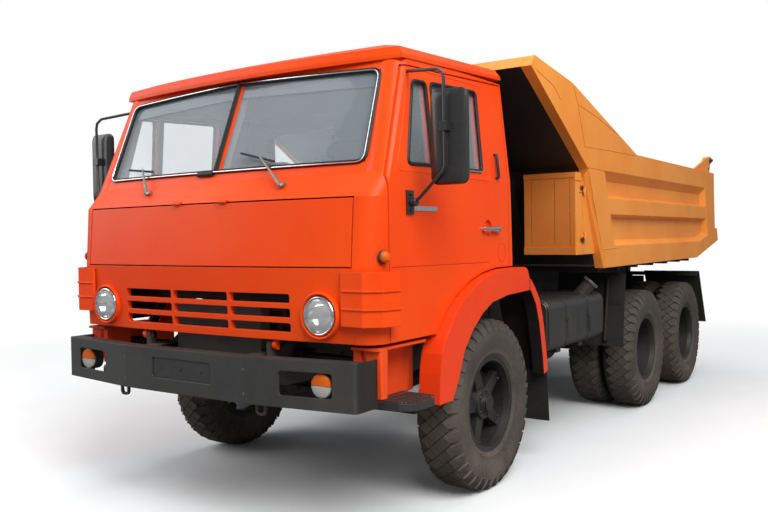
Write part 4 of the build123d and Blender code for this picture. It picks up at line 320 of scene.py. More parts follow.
@dataclass(frozen=True)
class Enamel(Surface):
    """Sprayed paint on sheet steel or castings, with dust, chips, a slight orange peel and painted shade where shadow
    falls.
    """

    faded: Point
    roughness: float = 0.34
    coat: float = 0.35
    dust: Point = (0.42, 0.34, 0.26)
    dust_amount: float = 0.5
    dust_height: float = 1.2
    chips: Point = (0.10, 0.07, 0.05)
    wear: float = 0.5
    peel: float = 0.05
    streaks: float = 0.0
    specular: float = 0.45
    # Painted shade: this black is laid where shadow falls, on the faces that the fields below pick out by facing,
    # height or place across the truck.
    shade_black: Point = (0.016, 0.014, 0.012)
    shade_under: bool = False
    shade_ahead: float = 0.0
    shade_edges: bool = False
    shade_below: float = 0.0
    shade_inside: float = 0.0
    shade_outside: float = 0.0
    lining: Optional[Point] = None

    def _lined(self, work: Tree, split: bpy.types.Node, colour: Socket) -> Socket:
        """Give what lies behind the cab's skin its lining above the floor, and black painted shade below it.

        Args:
            work: The material's tree.
            split: The place, split into its axes.
            colour: The paint so far.

        Returns:
            The colour with the lining in it.
        """
        side_taper, nose_rake, nose_bow, hood_step, nose_y = 0.0945, 0.40, 0.050, -0.085, -3.086
        x, y, z = (split.outputs[axis] for axis in "XYZ")
        over_waist = work.maths("MAXIMUM", work.maths("SUBTRACT", z, WAIST_Z), 0.0)
        across = work.total(work.maths("ABSOLUTE", x), work.product(over_waist, side_taper))
        skin = work.total(work.product(over_waist, nose_rake), work.product(x, x, nose_bow),
                          work.product(work.ramp(z, 1.73, 1.715), hood_step), nose_y)
        mask = work.product(work.ramp(across, 1.090, 1.086), work.ramp(work.maths("SUBTRACT", y, skin), 0.014, 0.018),
                            work.ramp(y, -1.712, -1.716), work.ramp(z, 2.410, 2.405))
        return work.mix(mask, colour, work.mix(work.ramp(z, 1.234, 1.238), self.shade_black, self.lining))

    def _painted_shade(self, work: Tree, colour: Socket) -> Socket:
        """Paint shade as black on faces that look down or ahead, or lie below a height, near the middle of the truck or
        far out to the side.

        Args:
            work: The material's tree.
            colour: The paint so far.

        Returns:
            The colour with the painted shade in it.
        """
        spot = work.add("TexCoord")
        split = work.add("SeparateXYZ", Vector=spot.outputs["Object"])
        facing = work.add("SeparateXYZ", Vector=spot.outputs["Normal"])
        across, height = work.maths("ABSOLUTE", split.outputs["X"]), split.outputs["Z"]
        masks = []
        if self.shade_under:
            masks.append(work.ramp(facing.outputs["Z"], -0.15, -0.3))
        if self.shade_ahead:
            edgewise = work.ramp(work.maths("ABSOLUTE", facing.outputs["X"]), 0.6, 0.8) if self.shade_edges else 0.0
            forward = work.maths("MAXIMUM", work.ramp(facing.outputs["Y"], -0.3, -0.5), edgewise)
            masks.append(work.product(forward, work.ramp(height, self.shade_ahead, self.shade_ahead - 0.03)))
        if self.shade_below:
            masks.append(work.ramp(height, self.shade_below, self.shade_below - 0.004))
        if self.shade_inside:
            masks.append(work.ramp(across, self.shade_inside, self.shade_inside - 0.01))
        if self.shade_outside:
            masks.append(work.ramp(across, self.shade_outside, self.shade_outside + 0.01))
        for mask in masks:
            colour = work.mix(mask, colour, self.shade_black)
        return self._lined(work, split, colour) if self.lining else colour

    def paint(self, work: Tree, shader: bpy.types.Node, place: Socket) -> None:
        """Lay the paint, its streaks, dust and chips, and the painted shade.

        Args:
            work: The material's tree.
            shader: Its shader.
            place: Coordinates of the object.
        """
        colour = work.mix(work.ramp(work.noise(place, 1.7, 6.0, 0.6), 0.3, 0.72), self.colour, self.faded)
        if self.streaks:
            stretch = work.add("Mapping", Vector=place, Scale=(9.0, 9.0, 0.7)).outputs[0]
            runs = work.ramp(work.noise(stretch, 3.0, 6.0, 0.6), 0.52, 0.78)
            colour = work.mix(work.product(runs, self.streaks), colour, self.dust)
        dirt = work.dust(self.dust_amount, self.dust_height)
        group = node_group("edge_wear", {"Amount": 0.5}, {"Chips": "Float", "Normal": "Vector"}, edge_wear)
        edges = work.add("Group", node_tree=group, Amount=self.wear)
        colour = work.mix(edges.outputs["Chips"], work.mix(dirt, colour, self.dust), self.chips)
        scuffs = work.product(work.ramp(work.noise(place, 27.0, 7.0, 0.7), 0.45, 0.8), 0.12)
        normal = work.bump(self.peel, 0.004, work.noise(place, 210.0, 2.0, 0.5), edges.outputs["Normal"])
        work.feed(shader, Base_Color=self._painted_shade(work, colour), Normal=normal,
                  Roughness=work.total(work.product(dirt, 0.5), self.roughness, scuffs),
                  Specular_IOR_Level=self.specular, Coat_Weight=self.coat, Coat_Roughness=0.18)


@dataclass(frozen=True)
class Rubber(Surface):
    """Tyre or sheet rubber, greyed by road dust in patches, thicker low down."""

    dust: Point
    dust_amount: float
    grain: float = 90.0
    roughness: float = 0.72
    dust_height: float = 1.3

    def paint(self, work: Tree, shader: bpy.types.Node, place: Socket) -> None:
        """Grain the rubber and lay dust on it.

        Args:
            work: The material's tree.
            shader: Its shader.
            place: Coordinates of the object.
        """
        grain = work.noise(place, self.grain, 6.0, 0.7)
        shade = work.mix(work.ramp(grain, 0.35, 0.7), self.colour, scaled(self.colour, 1.5))
        work.feed(shader, Base_Color=work.mix(work.dust(self.dust_amount, self.dust_height), shade, self.dust),
                  Roughness=self.roughness, Specular_IOR_Level=0.35, Normal=work.bump(0.35, 0.002, grain))


@dataclass(frozen=True)
class Metal(Surface):
    """Bare, plated or ground metal with fine scratches."""

    roughness: float = 0.2
    scratch: float = 0.25

    def paint(self, work: Tree, shader: bpy.types.Node, place: Socket) -> None:
        """Cloud and scratch the metal.

        Args:
            work: The material's tree.
            shader: Its shader.
            place: Coordinates of the object.
        """
        noise = work.noise(place, 60.0, 6.0, 0.65)
        rough = work.total(work.product(work.ramp(noise, 0.35, 0.8), self.scratch), self.roughness)
        work.feed(shader, Base_Color=work.mix(work.ramp(noise, 0.4, 0.75), self.colour, scaled(self.colour, 0.7)),
                  Metallic=1.0, Roughness=rough)


@dataclass(frozen=True)
class Glazing(Surface):
    """Sheet glass or a moulded lens, with faint dust and an optional pattern of flutes."""

    alpha: float = 0.4
    roughness: float = 0.04
    flutes: float = 0.0
    dust: float = 0.12

    def paint(self, work: Tree, shader: bpy.types.Node, place: Socket) -> None:
        """Tint the glass, cloud it with dust and flute a lens.

        Args:
            work: The material's tree.
            shader: Its shader.
            place: Coordinates of the object.
        """
        film = work.ramp(work.noise(place, 2.2, 3.0, 0.5), 0.2, 0.8)
        dusty = work.product(film, self.dust)
        clear = self.alpha < 0.5
        work.feed(shader, Base_Color=work.mix(dusty, self.colour, (0.5, 0.47, 0.43)),
                  Alpha=work.total(dusty, self.alpha), Roughness=work.total(work.product(film, 0.10), self.roughness),
                  IOR=1.5, Coat_Weight=0.6 if clear else 0.1, Specular_IOR_Level=0.5 if clear else 0.25)
        if self.flutes:
            wave = work.add("TexWave", Scale=self.flutes, Distortion=0.0, Vector=place)
            work.feed(shader, Normal=work.bump(0.5, 0.003, wave.outputs["Fac"]))


@dataclass(frozen=True)
class Moulded(Surface):
    """Moulded plastic or woven cloth: an even colour with a fine grain."""

    roughness: float = 0.55
    grain: float = 160.0
    depth: float = 0.25
    sheen: float = 0.0
    dust_amount: float = 0.25

    def paint(self, work: Tree, shader: bpy.types.Node, place: Socket) -> None:
        """Grain the plastic or cloth and lay dust on it.

        Args:
            work: The material's tree.
            shader: Its shader.
            place: Coordinates of the object.
        """
        grain = work.noise(place, self.grain, 3.0, 0.6)
        shade = work.mix(grain, scaled(self.colour, 0.8), scaled(self.colour, 1.2))
        work.feed(shader, Base_Color=work.mix(work.dust(self.dust_amount, 3.0), shade, (0.36, 0.32, 0.27)),
                  Roughness=self.roughness, Sheen_Weight=self.sheen, Normal=work.bump(self.depth, 0.002, grain))


CAB_REDS = ((0.88, 0.055, 0.002), (0.92, 0.078, 0.003))
FENDER_REDS = ((0.86, 0.040, 0.003), (0.90, 0.058, 0.006))
# Painted shade: the fenders' faces that look down are blackened.
FENDER_PAINT = dict(roughness=0.34, coat=0.1, dust=(0.60, 0.18, 0.08), dust_height=1.4, chips=(0.30, 0.03, 0.01),
                    wear=0.4, specular=0.25, shade_under=True)
OCHRES = ((0.84, 0.245, 0.020), (0.93, 0.33, 0.045))
OCHRE_PAINT = dict(coat=0.0, dust_height=2.4, chips=(0.16, 0.08, 0.04), peel=0.08, streaks=0.22)


class Finish(Enum):
    """Every finish on the truck."""

    CAB = Enamel("cab_orange_red", *CAB_REDS, roughness=0.36, coat=0.0,
                 dust=(0.66, 0.16, 0.05), dust_amount=0.10, dust_height=1.5, chips=(0.34, 0.03, 0.008), wear=0.35,
                 specular=0.20, lining=(0.19, 0.185, 0.18))
    # Painted shade: the steps' parts nearer the middle than about 0.95 m are blackened.
    STEP = Enamel("step_orange_red", *CAB_REDS, roughness=0.40, coat=0.0,
                  dust=(0.45, 0.20, 0.11), dust_amount=0.35, dust_height=1.3, chips=(0.20, 0.04, 0.02), wear=0.6,
                  specular=0.22, shade_inside=0.955)
    FENDER = Enamel("fender_orange_red", *FENDER_REDS, dust_amount=0.16, **FENDER_PAINT)
    # Painted shade: the fender tails' forward-facing faces are blackened at every height, as well as their downward
    # faces.
    FENDER_TAIL = Enamel("fender_tail_orange_red", *FENDER_REDS, dust_amount=0.2, shade_ahead=9.0, **FENDER_PAINT)
    # Painted shade: dark red lines for the shadow in the door's crease and round its blanking cap.
    CREASE_SHADOW = Enamel("cab_seam_shadow", (0.42, 0.020, 0.002), (0.46, 0.026, 0.003), roughness=0.5, coat=0.0,
                  dust=(0.40, 0.10, 0.04), dust_amount=0.1, wear=0.0, specular=0.15)
    BED = Enamel("bed_ochre", *OCHRES, roughness=0.46, specular=0.3, dust=(0.62, 0.40, 0.20), dust_amount=0.3,
                 wear=0.7, **OCHRE_PAINT)
    # Painted shade: the front wall and canopy are blackened on faces that look down, and on faces that look ahead or
    # sideways below 2.45 m, for the deep shadow under the canopy.
    BED_FRONT = Enamel("bed_front_painted_shade", *OCHRES, roughness=0.50, dust=(0.50, 0.36, 0.22), dust_amount=0.4,
                       wear=0.6, shade_under=True, shade_ahead=2.45, shade_edges=True, **OCHRE_PAINT)
    # A darker copy of the bed's ochre: the darkness is painted shade; its dust, streaks and wear are real.
    BED_IN_SHADE = Enamel("bed_ochre_in_shade", (0.56, 0.135, 0.010), (0.66, 0.19, 0.02), roughness=0.55, coat=0.0,
                    dust=(0.40, 0.22, 0.10), dust_amount=0.5, dust_height=2.4, chips=(0.12, 0.06, 0.03), wear=0.9,
                    peel=0.12, streaks=0.35, specular=0.3)
    # Painted shade: the bed floor's parts below 1.272 m, under the bed, are blackened; its worn and dusty colours are
    # real.
    BED_INSIDE = Enamel("bed_inside_worn", (0.30, 0.17, 0.07), (0.20, 0.17, 0.145), roughness=0.55, coat=0.0,
                        dust=(0.33, 0.27, 0.20), dust_amount=0.9, dust_height=3.4, chips=(0.16, 0.15, 0.14),
                        wear=0.9, peel=0.15, streaks=0.35, shade_below=1.272)
    CHASSIS = Enamel("chassis_grey_black", (0.013, 0.013, 0.013), (0.024, 0.023, 0.022), roughness=0.40, coat=0.15,
                     dust=(0.14, 0.12, 0.10), dust_amount=0.34, dust_height=1.3, chips=(0.10, 0.07, 0.05),
                     wear=0.5, peel=0.10)
    # Painted shade: the bumper's returns, beyond 1.092 m from the middle, are blackened.
    BUMPER = Enamel("bumper_grey_black", (0.020, 0.020, 0.020), (0.034, 0.033, 0.031), roughness=0.46, coat=0.1,
                    dust=(0.15, 0.13, 0.11), dust_amount=0.30, dust_height=1.3, chips=(0.10, 0.07, 0.05), wear=0.6,
                    peel=0.08, shade_outside=1.092)
    UNDERSIDE = Enamel("underside_dusty", (0.018, 0.018, 0.017), (0.035, 0.032, 0.028), roughness=0.66, coat=0.0,
                       dust=(0.15, 0.125, 0.10), dust_amount=0.75, dust_height=1.5, chips=(0.09, 0.05, 0.03),
                       wear=0.4, peel=0.2)
    WHEEL = Enamel("wheel_casting", (0.010, 0.010, 0.010), (0.020, 0.019, 0.018), roughness=0.42, coat=0.1,
                   dust=(0.12, 0.10, 0.08), dust_amount=0.28, dust_height=1.4, chips=(0.12, 0.10, 0.08), wear=0.6,
                   peel=0.25)
    ENGINE = Enamel("engine_castings", (0.085, 0.088, 0.085), (0.055, 0.055, 0.052), roughness=0.6, coat=0.0,
                    dust=(0.13, 0.105, 0.08), dust_amount=0.9, dust_height=2.2, wear=0.3, peel=0.4)
    TYRE = Rubber("tyre_rubber", (0.040, 0.034, 0.028), (0.225, 0.182, 0.142), 0.60)
    SHEET_RUBBER = Rubber("sheet_rubber", (0.010, 0.010, 0.009), (0.10, 0.085, 0.068), 0.35, grain=40.0)
    SEAL = Rubber("window_seal", (0.010, 0.010, 0.010), (0.06, 0.055, 0.05), 0.15, grain=140.0, roughness=0.5)
    CHROME = Metal("chrome_bead", (0.80, 0.80, 0.80), 0.10, 0.15)
    STEEL = Metal("ground_steel", (0.46, 0.46, 0.47), 0.24, 0.25)
    WORN_STEEL = Metal("worn_steel", (0.30, 0.28, 0.26), 0.40, 0.3)
    GLASS = Glazing("window_glass", (0.60, 0.68, 0.73), alpha=0.16, dust=0.03)
    GLASS_BAND = Glazing("window_shade_band", (0.30, 0.36, 0.40), alpha=0.25, dust=0.02)
    LENS = Glazing("lamp_lens", (0.72, 0.73, 0.72), alpha=0.22, dust=0.04, flutes=30.0)
    CLEAR = Glazing("clear_lens", (0.50, 0.49, 0.46), alpha=0.9, dust=0.1, flutes=60.0, roughness=0.15)
    AMBER = Glazing("amber_lens", (0.74, 0.125, 0.001), alpha=0.97, dust=0.01, flutes=60.0, roughness=0.2)
    RED = Glazing("red_lens", (0.45, 0.012, 0.008), alpha=0.95, flutes=60.0, roughness=0.15)
    BLACK_PLASTIC = Moulded("black_plastic", (0.022, 0.022, 0.023), 0.48)
    GLOSS_PLASTIC = Moulded("black_gloss_plastic", (0.016, 0.016, 0.017), 0.26, depth=0.05, dust_amount=0.12)
    DASH = Moulded("dash_board", (0.030, 0.029, 0.028), 0.6, 120.0)
    CLOTH = Moulded("seat_cloth", (0.055, 0.045, 0.038), 0.9, 420.0, 0.6, 0.35)
    BLACK_PAINT = Enamel("black_gloss_paint", (0.014, 0.014, 0.014), (0.022, 0.022, 0.022), roughness=0.32,
                         coat=0.3, dust=(0.16, 0.14, 0.12), dust_amount=0.2, dust_height=2.0, wear=0.3)

    @property
    def material(self) -> bpy.types.Material:
        """The finish's material."""
        return self.value.material()


# ---------------------------------------------------------------- mesh forms
def stand(name: str, data: bpy.types.ID) -> bpy.types.Object:
    """Put an object with this data in the scene.

    Args:
        name: Its name.
        data: Its mesh, lamp or camera.

    Returns:
        The object.
    """
    made = bpy.data.objects.new(name, data)
    bpy.context.scene.collection.objects.link(made)
    return made


@dataclass
class Form:
    """Mesh under construction, in metres in the row frame, made of several closed parts."""

    name: str
    verts: list[Point] = field(default_factory=list)
    faces: list[tuple[int, ...]] = field(default_factory=list)

    def _take(self, verts: Iterable[Sequence[float]], faces: Iterable[Sequence[int]]) -> None:
        """Add a part's vertices and faces.

        Args:
            verts: Points.
            faces: Indices into these points.
        """
        start = len(self.verts)
        self.verts += [tuple(v) for v in verts]
        self.faces += [tuple(start + index for index in f) for f in faces]

    def box(self, x: Flat, y: Flat, z: Flat) -> None:
        """Add a box between three pairs of limits."""
        verts = [(a, b, c) for c in sorted(z) for b in sorted(y) for a in sorted(x)]
        self._take(verts, [(0, 2, 3, 1), (4, 5, 7, 6), (0, 1, 5, 4), (1, 3, 7, 5), (3, 2, 6, 7), (2, 0, 4, 6)])

    def loft(self, rings: Sequence[Sequence[Sequence[float]]], cap: bool = True, loop: bool = False) -> None:
        """Skin a row of rings that have equal counts.

        Args:
            rings: Closed rings of points.
            cap: Close the first and last ring.
            loop: Join the last ring to the first.
        """
        count, rows = len(rings[0]), len(rings)
        faces = woven(rows, count, rows if loop else rows - 1, count)
        if cap and not loop:
            faces.append(tuple(reversed(range(count))))
            faces.append(tuple((rows - 1) * count + j for j in range(count)))
        self._take([p for ring in rings for p in ring], faces)

    def plate(self, outline: Sequence[Sequence[float]], push: Sequence[float]) -> None:
        """Add a flat outline thickened by a vector."""
        shifted = [[a + b for a, b in zip(p, push)] for p in outline]
        self.loft([outline, shifted])

    def turned(self, profile: Sequence[Flat], centre: Sequence[float], axis: Sequence[float], steps: int = 32,
               closed: bool = False) -> None:
        """Turn a profile of (distance along the axis, radius) round an axis.

        Args:
            profile: Points from one end to the other.
            centre: Where the distance is 0.
            axis: Direction of the axis.
            steps: Facets round the axis.
            closed: The profile is a loop that doesn't reach the axis.
        """
        along, middle = Vector(axis).normalized(), Vector(centre)
        side = along.orthogonal().normalized()
        other = along.cross(side)
        turns = [2 * math.pi * turn / steps for turn in range(steps)]
        rings = [[tuple(middle + along * d + (side * math.cos(a) + other * math.sin(a)) * r) for d, r in profile]
                 for a in turns]
        count = len(profile)
        faces = woven(steps, count, steps, count if closed else count - 1)
        if not closed:
            faces.append(tuple(i * count for i in range(steps)))
            faces.append(tuple(i * count + count - 1 for i in reversed(range(steps))))
        self._take([p for ring in rings for p in ring], faces)

    def tube(self, path: Sequence[Sequence[float]], radius: float, steps: int = 10, loop: bool = False) -> None:
        """Sweep a round section along a path of points, mitred at the corners.

        Args:
            path: Points of the centre line.
            radius: Radius of the section.
            steps: Facets round the section.
            loop: The path closes on itself.
        """
        points = [Vector(p) for p in path]
        count = len(points)
        tangents = []
        for i in range(count):
            before = points[i - 1] if i or loop else points[i]
            after = points[(i + 1) % count] if i < count - 1 or loop else points[i]
            tangents.append((after - before).normalized())
        up = tangents[0].orthogonal().normalized()
        rings = []
        for point, along in zip(points, tangents):
            up = (up - along * up.dot(along)).normalized()
            across = along.cross(up)
            rings.append([tuple(point + (up * math.cos(a) + across * math.sin(a)) * radius)
                          for a in (2 * math.pi * k / steps for k in range(steps))])
        self.loft(rings, loop=loop)

    def bolt(self, place: Sequence[float], axis: Sequence[float], size: float, height: float = 0.0) -> None:
        """Add a hexagon bolt head on its washer.

        Args:
            place: Centre of the seat.
            axis: Direction that the head stands out.
            size: Width across the hexagon's corners.
            height: Height of the head, or 0 for the usual share of its width.
        """
        tall = height or 0.55 * size
        self.turned([(0, 0.66 * size), (0.12 * size, 0.66 * size)], place, axis, 14)
        self.turned([(0.12 * size, 0.5 * size), (0.12 * size + 0.8 * tall, 0.5 * size),
                     (0.12 * size + tall, 0.43 * size)], place, axis, 6)

    def mirrored(self) -> "Form":
        """Add the mirror image of everything so far across the middle of the truck, and return the form."""
        self._take([(-x, y, z) for x, y, z in self.verts], [tuple(reversed(f)) for f in self.faces])
        return self

    def done(self, body: str, finish: Finish, slot: str, bevel: float = 0.0, smooth: bool = True,
             replaces: Sequence[str] = ()) -> bpy.types.Object:
        """Make the object, give it its finish and let it ride on its body.

        Args:
            body: Body that it rides on.
            finish: Its finish.
            slot: The record's material slot; not used.
            bevel: Width of the rounded edges in metres.
            smooth: Shade smooth below 35 degrees.
            replaces: CAD nodes that it stands for.

        Returns:
            The finished piece.
        """
        mesh = bpy.data.meshes.new(self.name)
        mesh.from_pydata(self.verts, [], self.faces)
        mesh.validate()
        mesh.update()
        made = stand(self.name, mesh)
        if smooth:
            mesh.shade_smooth()
            mesh.set_sharp_from_angle(angle=SHARP_ANGLE)
        if bevel:
            rounding = made.modifiers.new("rounded_edges", "BEVEL")
            rounding.width = bevel
            rounding.segments = 2
            rounding.limit_method = "ANGLE"
            rounding.angle_limit = BEVEL_ANGLE
            rounding.harden_normals = True
        mesh.materials.append(finish.material)
        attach(made, body)
        if replaces:
            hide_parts(*replaces)
        return made


def woven(rows: int, count: int, row_spans: int, spans: int) -> list[tuple[int, ...]]:
    """Quads that join each row of points to the next.

    Args:
        rows: Number of rows.
        count: Points in each row.
        row_spans: Rows that are joined onwards.
        spans: Points of a row that are joined onwards.

    Returns:
        The faces, as indices.
    """
    return [(i * count + j, i * count + (j + 1) % count, (i + 1) % rows * count + (j + 1) % count,
             (i + 1) % rows * count + j) for i in range(row_spans) for j in range(spans)]


def rectangle(low: Flat, high: Flat) -> list[Flat]:
    """Corners of a flat rectangle."""
    return [low, (high[0], low[1]), high, (low[0], high[1])]


def between(first: Sequence[float], second: Sequence[float], share: float) -> Point:
    """Point part of the way from one point to another."""
    return tuple(a + (b - a) * share for a, b in zip(first, second))


def circle(centre: Sequence[float], radius: float, first: Sequence[float], second: Sequence[float],
           steps: int = 24, start: float = 0.0, sweep: float = 360.0) -> list[Point]:
    """Points round a circle or along an arc.

    Args:
        centre: Its centre.
        radius: Its radius.
        first: Direction at angle 0.
        second: Direction at 90 degrees.
        steps: Number of points, or of spans on an arc.
        start: First angle in degrees.
        sweep: Angle covered in degrees.

    Returns:
        The points.
    """
    a, b, c = Vector(first), Vector(second), Vector(centre)
    whole = abs(sweep) >= 360.0
    angles = [math.radians(start + sweep * k / steps) for k in range(steps if whole else steps + 1)]
    return [tuple(c + a * (radius * math.cos(t)) + b * (radius * math.sin(t))) for t in angles]


# ---------------------------------------------------------------- the cab's outside
@dataclass(frozen=True)
class CabShape:
    """The cab's outer surface: levels of height, half width, nose ahead of the axle and bow."""

    levels: tuple[tuple[float, float, float, float], ...] = (
        (1.000, 1.130, 1.270, 0.045), (1.372, 1.130, 1.290, 0.046), (1.715, 1.130, 1.264, 0.048),
        (1.838, 1.128, 1.160, 0.060), (2.450, 1.072, 0.915, 0.044))

    def _level(self, z: float) -> tuple[float, float, float]:
        """Half width, nose and bow at a height.

        Args:
            z: The height.

        Returns:
            The three sizes.
        """
        index = max([i for i, level in enumerate(self.levels[:-1]) if level[0] <= z], default=0)
        low, high = self.levels[index], self.levels[index + 1]
        share = (z - low[0]) / (high[0] - low[0])
        return tuple(a + (b - a) * share for a, b in zip(low[1:], high[1:]))

    def front(self, x: float, z: float, proud: float = 0.0) -> Point:
        """Point on the nose or windscreen.

        Args:
            x: Distance from the middle.
            z: Height.
            proud: Distance ahead of the surface.

        Returns:
            The point.
        """
        half_width, nose, bow = self._level(z)
        return (x, FRONT_AXLE_Y - nose + bow * (x / (half_width - 0.120)) ** 2 - proud, z)

    def side(self, y: float, z: float, side: float, proud: float = 0.0) -> Point:
        """Point on a side wall, y counted from the front axle."""
        return (side * (self._level(z)[0] + proud), FRONT_AXLE_Y + y, z)


CAB = CabShape()


def rounded(corners: Sequence[Flat], radius: float, steps: int = 5, spans: int = 8) -> list[Flat]:
    """Round the corners of a flat outline and divide its sides.

    Args:
        corners: Corner points in order.
        radius: Radius of the rounding.
        steps: Points on each rounding.
        spans: Divisions of each side.

    Returns:
        The outline's points.
    """
    result: list[Flat] = []
    count = len(corners)
    ends = []
    for i, corner in enumerate(corners):
        c = Vector(corner)
        before, after = Vector(corners[i - 1]) - c, Vector(corners[(i + 1) % count]) - c
        start, end = c + before.normalized() * radius, c + after.normalized() * radius
        arc = []
        for k in range(steps + 1):
            t = k / steps
            arc.append(tuple(start * (1 - t) ** 2 + c * 2 * t * (1 - t) + end * t ** 2))
        ends.append(arc)
    for i, arc in enumerate(ends):
        result += arc
        start, end = Vector(arc[-1]), Vector(ends[(i + 1) % count][0])
        result += [tuple(start.lerp(end, k / spans)) for k in range(1, spans)]
    return result


# ---------------------------------------------------------------- wheels
@dataclass
class Tyre:
    """All-terrain tyre: bulged carcass, three rows of diamond blocks and open shoulder lugs."""

    radius: float = 0.509
    half_width: float = 0.130
    groove: float = 0.019
    blocks: int = 38
    row_step: float = 0.0495
    carcass_steps: int = 80
    block: tuple[Flat, ...] = ((0.0425, -0.035), (0.0425, 0.035), (0.0035, 0.440), (-0.0035, 0.440),
                               (-0.0425, 0.035), (-0.0425, -0.035), (-0.0035, -0.440), (0.0035, -0.440))
    lug_foot: tuple[Point, ...] = ((0.0575, 0.490, 0.045), (0.091, 0.486, 0.41), (0.107, 0.478, 0.39),
                                   (0.1215, 0.452, 0.33), (0.1265, 0.433, 0.20))
    lug_top: tuple[Point, ...] = ((0.0590, 0.5075, 0.03), (0.0920, 0.5045, 0.38), (0.108, 0.501, 0.36),
                                  (0.1275, 0.463, 0.30), (0.1298, 0.438, 0.17))

    def _carcass(self) -> list[Flat]:
        """Section as (offset from the middle, radius), from the outer bead round to the inner one.

        Returns:
            The section's points.
        """
        deep = self.radius - self.groove
        half = [(0.100, 0.284), (0.109, 0.297), (0.1145, 0.304), (0.1165, 0.312), (0.1150, 0.316), (0.1205, 0.340),
                (0.1275, 0.372), (self.half_width, 0.402), (0.1290, 0.425), (0.1275, 0.430), (0.1280, 0.436),
                (0.1225, 0.450), (0.1150, 0.468), (0.102, 0.480), (0.080, deep - 0.003), (0.040, deep)]
        return half + [(0.0, deep + 0.001)] + [(-a, r) for a, r in reversed(half)]

    def add(self, form: Form, centre: Point, axis: Point) -> None:
        """Add the whole tyre to a form.

        Args:
            form: Mesh that takes it.
            centre: Middle of the tyre.
            axis: Its axis.
        """
        form.turned(self._carcass(), centre, axis, self.carcass_steps, closed=True)
        along = Vector(axis)
        first = along.orthogonal().normalized()
        second = along.cross(first)
        middle = Vector(centre)

        def place(offset: float, radius: float, angle: float) -> Point:
            """Point at an offset along the axis, a radius and an angle."""
            return tuple(middle + along * offset + (first * math.cos(angle) + second * math.sin(angle)) * radius)

        pitch = 2 * math.pi / self.blocks
        low = self.radius - self.groove - 0.003
        for index in range(self.blocks):
            for row, shift in ((-1, 0.0), (0, 0.5), (1, 0.0)):
                angle = (index + shift) * pitch
                middle_x = row * self.row_step
                top = self.radius - 0.0015 * abs(row)
                form.loft([[place(middle_x + 1.06 * a, low, angle + 1.04 * t * pitch) for a, t in self.block],
                           [place(middle_x + a, top, angle + t * pitch) for a, t in self.block]])
            for side in (-1, 1):
                angle = (index + 0.5) * pitch
                loops = [edge + tuple((a, r, -t) for a, r, t in reversed(edge))
                         for edge in (self.lug_foot, self.lug_top)]
                form.loft([[place(side * a, r, angle + side * t * pitch) for a, r, t in loop] for loop in loops])


@dataclass
class Wheels:
    """Every tyre with the bolts and rings of its wheel."""

    tyre: Tyre = field(default_factory=Tyre)
    front_x: float = 1.007
    rear_x: float = 0.9225
    twin: float = 0.1525
    legs: int = 5
    rib: tuple[Flat, ...] = ((1.030, 0.099), (1.006, 0.130), (0.999, 0.205), (0.985, 0.215), (0.985, 0.098))
    clamp: tuple[Flat, ...] = ((0.985, 0.219), (1.012, 0.222), (1.014, 0.240), (1.006, 0.250), (0.985, 0.250))

    def spider(self, name: str, side: float) -> None:
        """Ribs, clamps, studs and cap rings on the spider of one front wheel.

        Args:
            name: left or right.
            side: 1 for left, -1 for right.
        """

        def spot(x: float, radius: float, across: float, angle: float) -> Point:
            """Point at a distance out, a radius, a place across a leg and the leg's angle."""
            return (side * x, FRONT_AXLE_Y + radius * math.cos(angle) - across * math.sin(angle),
                    AXLE_Z + radius * math.sin(angle) + across * math.cos(angle))

        castings, studs = Form("spider_ribs_" + name), Form("spider_studs_" + name)
        for leg in range(self.legs):
            angle = math.radians(180 + 360 * leg / self.legs)
            for across in (-0.013, 0.013):
                castings.loft([[spot(x, r, across + half, angle) for x, r in self.rib] for half in (-0.0045, 0.0045)])
            castings.loft([[spot(x, r, half, angle) for x, r in self.clamp] for half in (-0.040, 0.040)])
            for across in (-0.024, 0.024):
                studs.bolt(spot(1.010, 0.233, across, angle), (side, 0, 0), 0.031, 0.022)
                studs.turned([(0.0, 0.008), (0.045, 0.008), (0.048, 0.006)], spot(1.010, 0.233, across, angle),
                             (side, 0, 0), 10)
            studs.bolt(spot(1.066, 0.076, 0.0, angle + math.radians(36)), (side, 0, 0), 0.016)
        middle = (0.0, FRONT_AXLE_Y, AXLE_Z)
        for low, high, outer, inner in ((1.066, 1.079, 0.064, 0.046), (1.078, 1.090, 0.0555, 0.047)):
            castings.turned([(low, inner), (low, outer), (high - 0.003, outer), (high, outer - 0.003), (high, inner)],
                            middle, (side, 0, 0), 36, closed=True)
        castings.tube(circle((side * 1.1035, FRONT_AXLE_Y, AXLE_Z), 0.283, ALONG, UP, 72), 0.0048, 8, loop=True)
        castings.done("front_wheel_" + name, Finish.WHEEL, "wheel_paint")
        studs.done("front_wheel_" + name, Finish.BLACK_PAINT, "wheel_paint")

    def front(self) -> None:
        """Front tyres and the fittings of their spiders."""
        for name, side in SIDES:
            self.spider(name, side)
            tread = Form("front_tread_" + name)
            self.tyre.add(tread, (side * self.front_x, FRONT_AXLE_Y, AXLE_Z), ACROSS)
            tread.done("front_wheel_" + name, Finish.TYRE, "tyre", replaces=("front_tyre_" + name,))

    def rear(self) -> None:
        """Twin rear tyres."""
        for name, side in SIDES:
            for number, axle_y in zip(("1", "2"), REAR_AXLES_Y):
                tread = Form(f"rear_tread_{name}_{number}")
                for offset in (-self.twin, self.twin):
                    self.tyre.add(tread, (side * self.rear_x + offset, axle_y, AXLE_Z), ACROSS)
                tread.done(f"rear_wheels_{name}_{number}", Finish.TYRE, "tyre",
                           replaces=(f"rear_tyres_{name}_{number}",))

    def spare(self) -> None:
        """Spare tyre, upright behind the cab."""
        tread = Form("spare_tread")
        low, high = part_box("spare_wheel")
        self.tyre.add(tread, tuple((low + high) / 2), ALONG)
        tread.done("chassis", Finish.TYRE, "tyre", replaces=("spare_wheel",))


